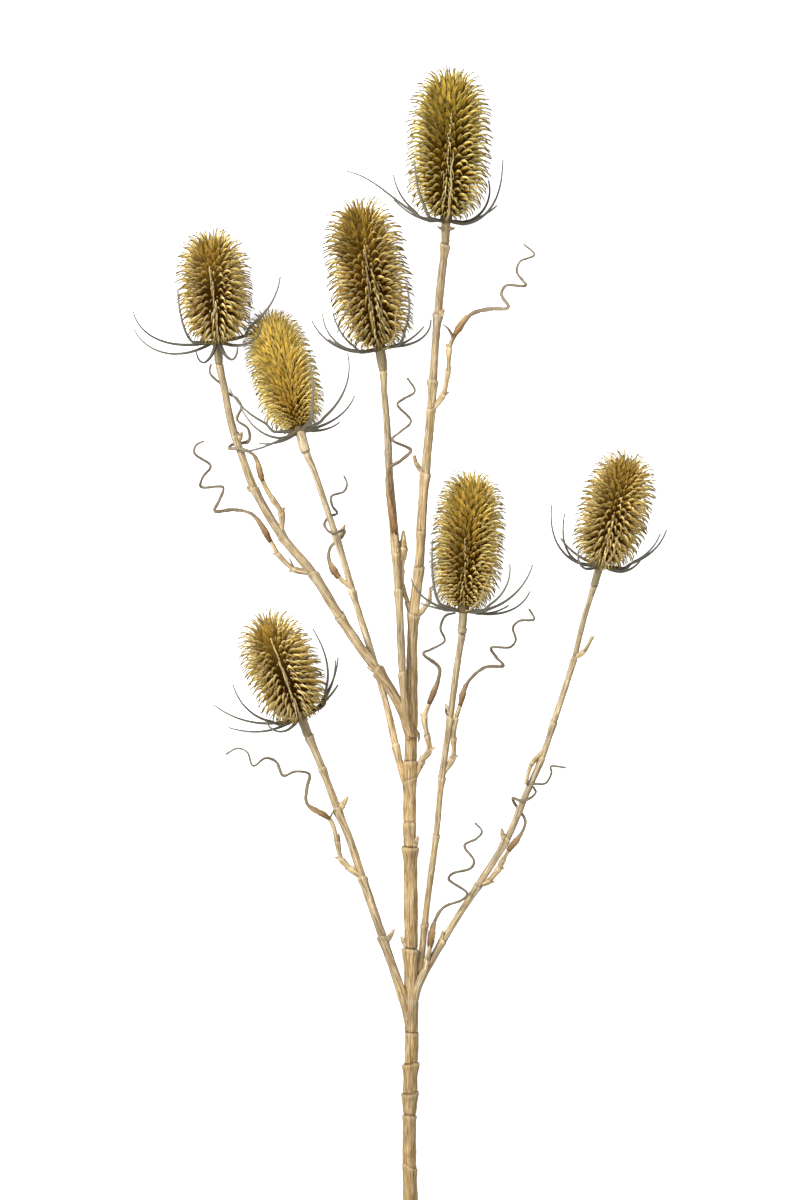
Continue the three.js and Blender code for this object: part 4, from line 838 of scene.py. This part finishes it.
headShape = {
    "coreShare": 0.63, "coreRound": 0.62, "coreEnd": 0.8, "coreSpan": (0.02, 0.985), "coreRings": 44,
    # the core takes the darkest colour of the spines' ramp: painted shade deep between the spines
    "coreSides": 32, "coreInset": 0.2, "coreLeast": 0.3, "corePaintedShadeAt": 0.02, "smoothAngle": 60,
    # rows of spines
    "columns": 13, "narrowColumns": 9, "narrowShare": 0.34, "rowPitch": 2.45, "ridgePitch": 2.4,
    "firstShare": 0.075, "lastShare": 0.975, "outlineSteps": 400, "betweenRise": 1.3,
    "valley": 0.03,  # half the angle that is kept bare beside a ridge
    "tuft": {"many": 8, "radius": 0.8, "drop": 1.5, "facing": 1.5, "turn": 2.4},
    # one hooded spine and one thin needle: share of the length, half width, half depth, drop of the rim
    "hood": [(0.0, 1.6, 1.1, 0.6), (0.15, 1.65, 0.8, 1.1), (0.3, 1.2, 0.5, 1.1), (0.45, 0.8, 0.44, 0.6),
             (0.62, 0.56, 0.42, 0.2), (0.84, 0.46, 0.4, 0.0)],
    "needle": [(0.0, 0.7, 0.7, 0.0), (0.45, 0.42, 0.42, 0.0)],
    "hoodSides": 6, "needleSides": 4, "rimCurve": 1.5, "keelFade": (1.5, 1.9),
    # how they stand: share of the full length, lift at the foot, hook at the tip, how much more they
    # rise toward the top of the head, scatter, bleaching and thickness
    "spines": {"long": 1.28, "lift": 0.6, "hook": 1.0, "rise": 0.7, "scatter": 0.03, "pale": 0.0,
               "size": 1.0},
    "crown": {"long": 1.0, "lift": 0.3, "hook": 0.1, "rise": 0.0, "scatter": 0.3, "pale": 0.0,
              "size": 1.0},
    "needles": {"long": 0.6, "lift": 0.7, "hook": 0.6, "rise": 0.7, "scatter": 0.15, "pale": 0.1,
                "size": 1.0},
    "ridge": {"long": 1.05, "lift": 0.1, "hook": 1.4, "rise": 0.0, "scatter": 0.03, "pale": 0.12,
              "size": 0.54},
    "sunk": 1.3, "poleLong": 0.9, "footLong": (0.45, 3.2, 0.55), "longRange": (0.88, 1.1),
    "follow": 0.78, "leastLean": -0.5, "heightScatter": 6, "liftScatter": 0.1, "hookScatter": 0.16,
    "leastSize": 0.35, "sizeCurve": 0.6, "denseCurve": 0.9, "sway": 0.5, "bendSteps": 40, "bendCurve": 1.25,
    "lowest": 0.12,  # the lowest tips lie flat on the table
    # tone of each spine, painted light across the head (right side lighter, left side darker), the darker
    # belly of each spine (own colour and painted shade), and what brightness adds
    "tones": (-0.35, 1.25), "paintedLightSide": 0.3, "bellyColourAndShade": 0.9, "brightPale": 0.04, "brightRise": 0.3,
}


def coreOutline(head, share):
    turn = share * np.pi
    radius = head["reach"] * headShape["coreShare"] * np.sin(turn) ** headShape["coreRound"]
    rise = np.sign(np.cos(turn)) * np.abs(np.cos(turn)) ** headShape["coreEnd"]
    return radius, head["length"] / 2 * (1 - rise)


def modelSpine(levels, sides):
    # one spine, modelled upright: a broad foot drawn out to a point
    bpy.ops.mesh.primitive_circle_add(vertices=sides, radius=1, fill_type="NGON")
    spine = bpy.context.object
    bpy.ops.object.mode_set(mode="EDIT")
    bpy.ops.mesh.select_all(action="SELECT")
    bpy.ops.transform.resize(value=(levels[0][1], levels[0][2], 1))
    for (low, wide, deep, _), (high, wideNext, deepNext, _) in zip(levels, levels[1:]):
        bpy.ops.mesh.extrude_region_move(TRANSFORM_OT_translate={"value": (0, 0, high - low)})
        bpy.ops.transform.resize(value=(wideNext / wide, deepNext / deep, 1))
    bpy.ops.mesh.extrude_region_move(TRANSFORM_OT_translate={"value": (0, 0, 1 - levels[-1][0])})
    bpy.ops.mesh.merge(type="CENTER")
    bpy.ops.mesh.select_all(action="SELECT")
    bpy.ops.mesh.normals_make_consistent(inside=True)  # set on the head it is mirrored, so it faces outward
    bpy.ops.object.mode_set(mode="OBJECT")
    points = np.array([v.co for v in spine.data.vertices])
    faces = [list(f.vertices) for f in spine.data.polygons]
    bpy.data.objects.remove(spine)
    table = np.array(levels)
    edge = np.abs(points[:, 0]) / np.interp(points[:, 2], table[:, 0], table[:, 1])
    back = points[:, 1] / np.interp(points[:, 2], table[:, 0], table[:, 2])
    drop = np.interp(points[:, 2], table[:, 0], table[:, 3])
    points[:, 1] -= drop * edge ** headShape["rimCurve"]  # the sides of the hood turn down
    most, fade = headShape["keelFade"]  # the pale keel ends before the tip
    keel = np.clip(2 * back - 1, 0, 1) * np.clip(most - fade * points[:, 2], 0, 1)
    return points, faces, keel, back


hoodForm = modelSpine(headShape["hood"], headShape["hoodSides"])
needleForm = modelSpine(headShape["needle"], headShape["needleSides"])


def spineRows(head, pitch):
    # rows at an even pitch up the core's outline
    shares = np.linspace(headShape["firstShare"], headShape["lastShare"], headShape["outlineSteps"])
    radius, height = coreOutline(head, shares)
    run = np.concatenate([[0], np.cumsum(np.hypot(np.diff(radius), np.diff(height)))])
    facing = np.arctan2(-np.gradient(radius), np.gradient(height))
    places = np.arange(0, run[-1], pitch)
    return np.array([np.interp(places, run, values) for values in (radius, height, facing)])


def setSpines(head, form, spread, way, rng):
    shape = headShape
    points, faces, keel, back = form
    axis, foot, right, up = headFrame(head)
    radius, height, facing, angle = spread
    many, sunk, steps = len(radius), shape["sunk"], shape["bendSteps"]
    widest = head["reach"] * shape["coreShare"]
    angle = angle + rng.normal(0, way["scatter"], many)
    height = height + rng.normal(0, shape["heightScatter"] * way["scatter"], many)
    share = height / head["length"]
    pole = shape["poleLong"]
    length = (head["reach"] - widest) / pole * np.clip(pole + (1 - pole) * radius / widest, 0, 1)
    footLong, perShare, least = shape["footLong"]  # short ones at the foot of the head
    length = length * np.clip(footLong + perShare * share, least, 1)
    length = length * way["long"] * head.get("full", 1) * rng.uniform(*shape["longRange"], many) + sunk
    lean = np.maximum(shape["follow"] * facing + way["rise"] * (share - 0.5), shape["leastLean"])
    lean = lean + head.get("nap", 0) * np.sin(angle)
    start = lean + way["lift"] + rng.normal(0, shape["liftScatter"], many)
    end = lean - way["hook"] + rng.normal(0, shape["hookScatter"], many)
    size = way["size"] * np.clip(radius / widest, shape["leastSize"], 1) ** shape["sizeCurve"]
    size = size / head.get("dense", 1) ** shape["denseCurve"]
    sway = rng.normal(0, shape["sway"], many)
    # painted light across the head: spines on its right side lighter, on its left side darker
    tone = rng.uniform(*shape["tones"], many) + head["bright"] + shape["paintedLightSide"] * np.cos(angle)
    # centre line of every spine, bending from lifted to hooked
    levels = np.linspace(0, 1, steps + 1)
    bend = start[:, None] + (end - start)[:, None] * levels[None, :] ** shape["bendCurve"]
    stepOut = np.cos(bend) * length[:, None] / steps
    stepUp = np.sin(bend) * length[:, None] / steps
    out = np.cumsum(stepOut, 1) - stepOut[:, :1]
    lift = np.cumsum(stepUp, 1) - stepUp[:, :1]
    at = np.clip(np.rint(points[:, 2] * steps).astype(int), 0, steps)
    tilt = bend[:, at]
    thick = points[:, 1][None, :] * size[:, None]
    radial = radius[:, None] - sunk * np.cos(start)[:, None] + out[:, at] - np.sin(tilt) * thick
    tall = height[:, None] - sunk * np.sin(start)[:, None] + lift[:, at] + np.cos(tilt) * thick
    aside = points[:, 0][None, :] * size[:, None] + sway[:, None] * points[:, 2][None, :] ** 2
    cosA, sinA = np.cos(angle)[:, None], np.sin(angle)[:, None]
    co = (foot + (radial * cosA - aside * sinA)[..., None] * right
          + (radial * sinA + aside * cosA)[..., None] * up + tall[..., None] * axis)
    co[..., 2] = np.maximum(co[..., 2], shape["lowest"])
    mesh = bpy.data.meshes.new("spines")
    stride = len(points)
    mesh.from_pydata((co * mm).reshape(-1, 3).tolist(), [],
                     [[i + n * stride for i in face] for n in range(many) for face in faces])
    spines = bpy.data.objects.new("spines", mesh)
    bpy.context.collection.objects.link(spines)
    paint(spines, "along", np.tile(points[:, 2], many))
    paint(spines, "across", np.tile(keel, many))
    paint(spines, "pale", np.full(many * stride, way["pale"] + shape["brightPale"] * head["bright"]))
    paint(spines, "warm", np.full(many * stride, head["warm"]))
    # the belly of each spine is darker: part its own colour, part painted shade
    paint(spines, "tone", (tone[:, None] + shape["bellyColourAndShade"] * np.clip(back, -1, 0)[None, :]).ravel())
    paint(spines, "rise", (tall / head["length"] + shape["brightRise"] * head["bright"]).ravel())
    return spines


def growCore(head):
    # the core that the spines stand on, in the darkest colour of the spines' roots: painted shade between
    # them
    shape = headShape
    rings, sides = shape["coreRings"], shape["coreSides"]
    axis, foot = headFrame(head)[:2]
    radius, height = coreOutline(head, np.linspace(*shape["coreSpan"], rings))
    radius = np.maximum(radius - shape["coreInset"], shape["coreLeast"])
    core, points = layTube(foot + height[:, None] * axis, radius, sides)
    setRings(core, points)
    for attribute, value in (("along", shape["corePaintedShadeAt"]), ("across", 0.0), ("tone", 0.0), ("pale", 0.0),
                             ("warm", head["warm"])):
        paint(core, attribute, np.full(rings * sides, value))
    paint(core, "rise", np.repeat(height / head["length"], sides))
    closeEnds(core)
    return core


def ridgeAngles(head, height, ridge):
    # where a ridge runs at these heights, and which of them it covers
    low, high, lowAngle, highAngle = ridge
    share = height / head["length"]
    return np.radians(np.interp(share, [low, high], [lowAngle, highAngle])), (share > low) & (share < high)


def growHead(name, head, seed):
    rng = np.random.default_rng(seed)
    shape = headShape
    dense, valley = head.get("dense", 1), head.get("valley", shape["valley"])
    narrow = shape["narrowShare"] * head["reach"] * shape["coreShare"]
    # staggered rows of hooded spines
    spread = []
    for row, (radius, height, facing) in enumerate(spineRows(head, shape["rowPitch"] / dense).T):
        count = round((shape["columns"] if radius > narrow else shape["narrowColumns"]) * dense)
        for column in range(count):
            spread.append((radius, height, facing, 2 * np.pi * (column + 0.5 * (row % 2)) / count))
    spread = np.array(spread).T
    for ridge in head["ridges"]:
        middle, covered = ridgeAngles(head, spread[1], ridge)
        spread = spread[:, ~(covered & (np.abs(spread[3] - middle) < valley))]
    parts = [growCore(head), setSpines(head, hoodForm, spread, shape["spines"], rng)]
    # thin needles in between
    between = spread + np.array([[0], [shape["betweenRise"]], [0], [np.pi / shape["columns"]]])
    parts.append(setSpines(head, needleForm, between, shape["needles"], rng))
    # a tuft of longer needles at the top
    tuft = shape["tuft"]
    crown = np.array([(tuft["radius"], head["length"] - tuft["drop"], tuft["facing"], turn * tuft["turn"])
                      for turn in range(tuft["many"])]).T
    parts.append(setSpines(head, needleForm, crown, shape["crown"], rng))
    # bleached ridges down the front, where spines lie one over the other
    for ridge in head["ridges"]:
        rows = spineRows(head, shape["ridgePitch"])
        angle, covered = ridgeAngles(head, rows[1], ridge)
        parts.append(setSpines(head, hoodForm, np.vstack([rows, angle])[:, covered], shape["ridge"], rng))
    return joinPieces("driedHead_" + name, parts, spineMaterial, shape["smoothAngle"])


for order, (name, head) in enumerate(heads.items()):
    piece = growHead(name, head, seeds["head"] + order)
    standFor(piece, "head_" + name)
print("heads set with spines")


bractShape = {
    "sides": 10, "steps": 40, "footRadius": 1.5, "tipRadius": 0.5, "taper": 0.8, "start": 2.4, "drop": 3.2,
    # room that it leaves for the spines, from below the head's foot to over its top
    "clearance": 2.2, "spaceFoot": -4.0, "spaceOver": 7.0, "spaceRound": 0.5, "freeShare": 0.12,
    "tableGap": 0.3, "soften": 3, "flat": 0.75, "channel": 0.22, "twist": 0.7, "ridge": 0.5,
    # a front bract that rises lies on the spines, thin, wavy and straw coloured
    "frontWithin": 35, "frontFoot": 100, "frontInto": -0.8, "frontThin": 0.55, "frontStraw": 0.8,
    "frontWave": 0.5, "waveRate": 0.35, "waveRun": 10,
    "grainWide": 1.2, "grainStretch": 0.06, "grainApart": 3.7,
}

discShape = {"heights": [-5.0, -4.6, -4.0, -3.2, -2.6, -1.8, -0.4, 1.6],
             "radii": [2.4, 2.7, 3.0, 3.3, 3.5, 3.6, 3.6, 3.8], "sides": 24,
             "straw": 0.1, "grainWide": 4, "grainStretch": 0.2}


def spineReach(head, height):
    shape = bractShape
    low, high = shape["spaceFoot"], head["length"] + shape["spaceOver"]
    if height < low or height > high:
        return 0
    turn = math.acos(1 - 2 * (height - low) / (high - low))
    return head["reach"] * math.sin(turn) ** shape["spaceRound"]


def liesOnHead(bract):
    return abs(bract[0] - 90) < bractShape["frontWithin"] and bract[2] < bractShape["frontFoot"]


def bractLine(head, bract):
    azimuth, length, footAngle, midAngle, tipAngle = bract
    axis, foot, right, up = headFrame(head)
    shape = bractShape
    clearance = shape["frontInto"] if liesOnHead(bract) else shape["clearance"]
    angle = math.radians(azimuth)
    outward = right * math.cos(angle) + up * math.sin(angle)
    place = foot + outward * shape["start"] - axis * shape["drop"]
    line = []
    for step in range(shape["steps"] + 1):
        t = step / shape["steps"]
        heading = math.radians(footAngle * (1 - t) * (1 - 2 * t) + midAngle * 4 * t * (1 - t)
                               + tipAngle * t * (2 * t - 1))
        radius = shape["footRadius"] + (shape["tipRadius"] - shape["footRadius"]) * t
        height = np.dot(place - foot, axis)
        radial = place - foot - axis * height
        room = 0 if t < shape["freeShare"] else spineReach(head, height) + clearance
        reach = np.linalg.norm(radial)
        if reach < room:
            radial = radial * room / reach
        point = foot + axis * height + radial
        point[2] = max(point[2], radius + shape["tableGap"])
        line.append(point)
        place = place + (axis * math.cos(heading) + outward * math.sin(heading)) * length / shape["steps"]
    line = np.array(line)
    for _ in range(shape["soften"]):  # the places where it was pushed off the spines
        line[1:-1] = (line[:-2] + 2 * line[1:-1] + line[2:]) / 4
    return line


def growBract(head, bract, seed):
    rng = np.random.default_rng(seed)
    shape = bractShape
    sides, front = shape["sides"], liesOnHead(bract)
    axis, foot, right = headFrame(head)[:3]
    line = bractLine(head, bract)
    d = lengthsAlong(line)
    t = d / d[-1]
    radius = shape["footRadius"] + (shape["tipRadius"] - shape["footRadius"]) * t ** shape["taper"]
    if front:
        radius = radius * shape["frontThin"]
        wave = shape["frontWave"] * np.sin(d * shape["waveRate"] + seed)
        wave = wave * np.clip(d / shape["waveRun"], 0, 1)
        line = line + wave[:, None] * right
    tube, rings = layTube(line, radius, sides)
    # flattened, with a channel on the side of the head, and twisted a little
    tangent = np.gradient(line, axis=0)
    tangent /= np.linalg.norm(tangent, axis=1)[:, None]
    fromAxis = line - foot - ((line - foot) @ axis)[:, None] * axis
    normal = fromAxis - (fromAxis * tangent).sum(1)[:, None] * tangent
    normal /= np.maximum(np.linalg.norm(normal, axis=1), 1e-6)[:, None]
    side = np.cross(tangent, normal)
    offset = rings - line[:, None, :]
    u = (offset * side[:, None, :]).sum(-1) / radius[:, None]
    v = (offset * normal[:, None, :]).sum(-1) / radius[:, None]
    bent = shape["flat"] * v - shape["channel"] * (u ** 2 - 0.5)
    turn = rng.uniform(-shape["twist"], shape["twist"]) * t[:, None]
    across = (u * np.cos(turn) - bent * np.sin(turn)) * radius[:, None]
    deep = (u * np.sin(turn) + bent * np.cos(turn)) * radius[:, None]
    setRings(tube, line[:, None, :] + across[..., None] * side[:, None, :]
             + deep[..., None] * normal[:, None, :])
    paint(tube, "along", np.repeat(t, sides))
    paint(tube, "across", (shape["ridge"] * np.clip(v, 0, 1) ** 3).ravel())
    paint(tube, "tone", np.full(len(t) * sides, rng.uniform(0, 1)))
    paint(tube, "straw", np.full(len(t) * sides, shape["frontStraw"] if front else 0.0))
    far = np.repeat(d[:, None] * shape["grainStretch"] + seed * shape["grainApart"], sides, 1)
    paint(tube, "grain", np.stack([u * shape["grainWide"], v * shape["grainWide"], far], -1).reshape(-1, 3))
    closeEnds(tube)
    return tube


def growDisc(head):
    shape = discShape
    axis, foot = headFrame(head)[:2]
    heights, sides = np.array(shape["heights"]), shape["sides"]
    disc, rings = layTube(foot + heights[:, None] * axis, np.array(shape["radii"]), sides)
    setRings(disc, rings)
    for name, value in (("along", 0.0), ("across", 0.0), ("tone", 0.0), ("straw", shape["straw"])):
        paint(disc, name, np.full(len(heights) * sides, value))
    angle, wide = turnsRound(sides), shape["grainWide"]
    paint(disc, "grain", np.stack([np.tile(wide * np.cos(angle), len(heights)),
                                   np.tile(wide * np.sin(angle), len(heights)),
                                   np.repeat(heights * shape["grainStretch"], sides)], -1))
    closeEnds(disc)
    return disc


for order, (name, head) in enumerate(heads.items()):
    firstSeed = seeds["bract"] + order * seeds["bractsApart"]
    parts = [growDisc(head)]
    for index, bract in enumerate(head["bracts"]):
        parts.append(growBract(head, bract, firstSeed + index))
    piece = joinPieces("driedBracts_" + name, parts, bractMaterial)
    standFor(piece, "bracts_" + name)
print("bracts curved")


# metres, as the frame has them; the camera looks straight down
studio = {
    "floorSize": 60, "frameHigh": 0.72, "centre": (-0.0006, 0.0252), "cameraHigh": 2.5, "middle": 0.02,
    "sensor": 36, "sky": {"From Min": -0.1, "From Max": 0.9, "To Min": 0.05, "To Max": 0.9},
    # watts, place, size
    "lights": [(66, (-1.4, 0.9, 1.5), 0.8), (16, (0.3, -0.2, 2.4), 1.6)],
}

# White paper on a light table: even and matte, so shadows stay faint.
paperLook = {"roughness": 0.9, "ior": 1.45, "gloss": 0.3, "colour": "#f4f4f2", "glow": "#ffffff",
             "glowStrength": 0.8}

bpy.ops.mesh.primitive_plane_add(size=studio["floorSize"])
floor = bpy.context.object
floor.name = "studioFloor"
paper, tree, shader = startMaterial("whitePaper", paperLook)
shader.inputs["Base Color"].default_value = hexColour(paperLook["colour"])
shader.inputs["Emission Color"].default_value = hexColour(paperLook["glow"])
shader.inputs["Emission Strength"].default_value = paperLook["glowStrength"]
floor.data.materials.append(paper)
floor.visible_diffuse = False  # the table lights itself, not the spray's underside

world = bpy.data.worlds.new("studioSky")
bpy.context.scene.world = world
world.use_nodes = True
sky = world.node_tree
height = addNode(sky, "SeparateXYZ", inputs={0: addNode(sky, "TexCoord").outputs["Generated"]}).outputs["Z"]
glow = addNode(sky, "MapRange", inputs={"Value": height, **studio["sky"]}).outputs["Result"]
sky.links.new(glow, sky.nodes["Background"].inputs["Strength"])
sky.nodes["Background"].inputs["Color"].default_value = hexColour("#ffffff")

for watts, place, size in studio["lights"]:
    bpy.ops.object.light_add(type="AREA", location=place)
    lamp = bpy.context.object
    lamp.data.energy, lamp.data.size = watts, size
    lamp.rotation_euler = (-Vector(place)).to_track_quat("-Z", "Y").to_euler()

bpy.ops.object.camera_add(location=(*studio["centre"], studio["cameraHigh"]), rotation=(0, 0, 0))
camera = bpy.context.object
camera.data.sensor_width = studio["sensor"]
camera.data.lens = studio["sensor"] * (studio["cameraHigh"] - studio["middle"]) / studio["frameHigh"]
bpy.context.scene.camera = camera
bpy.context.scene.view_settings.view_transform = "Standard"
print("studio ready")
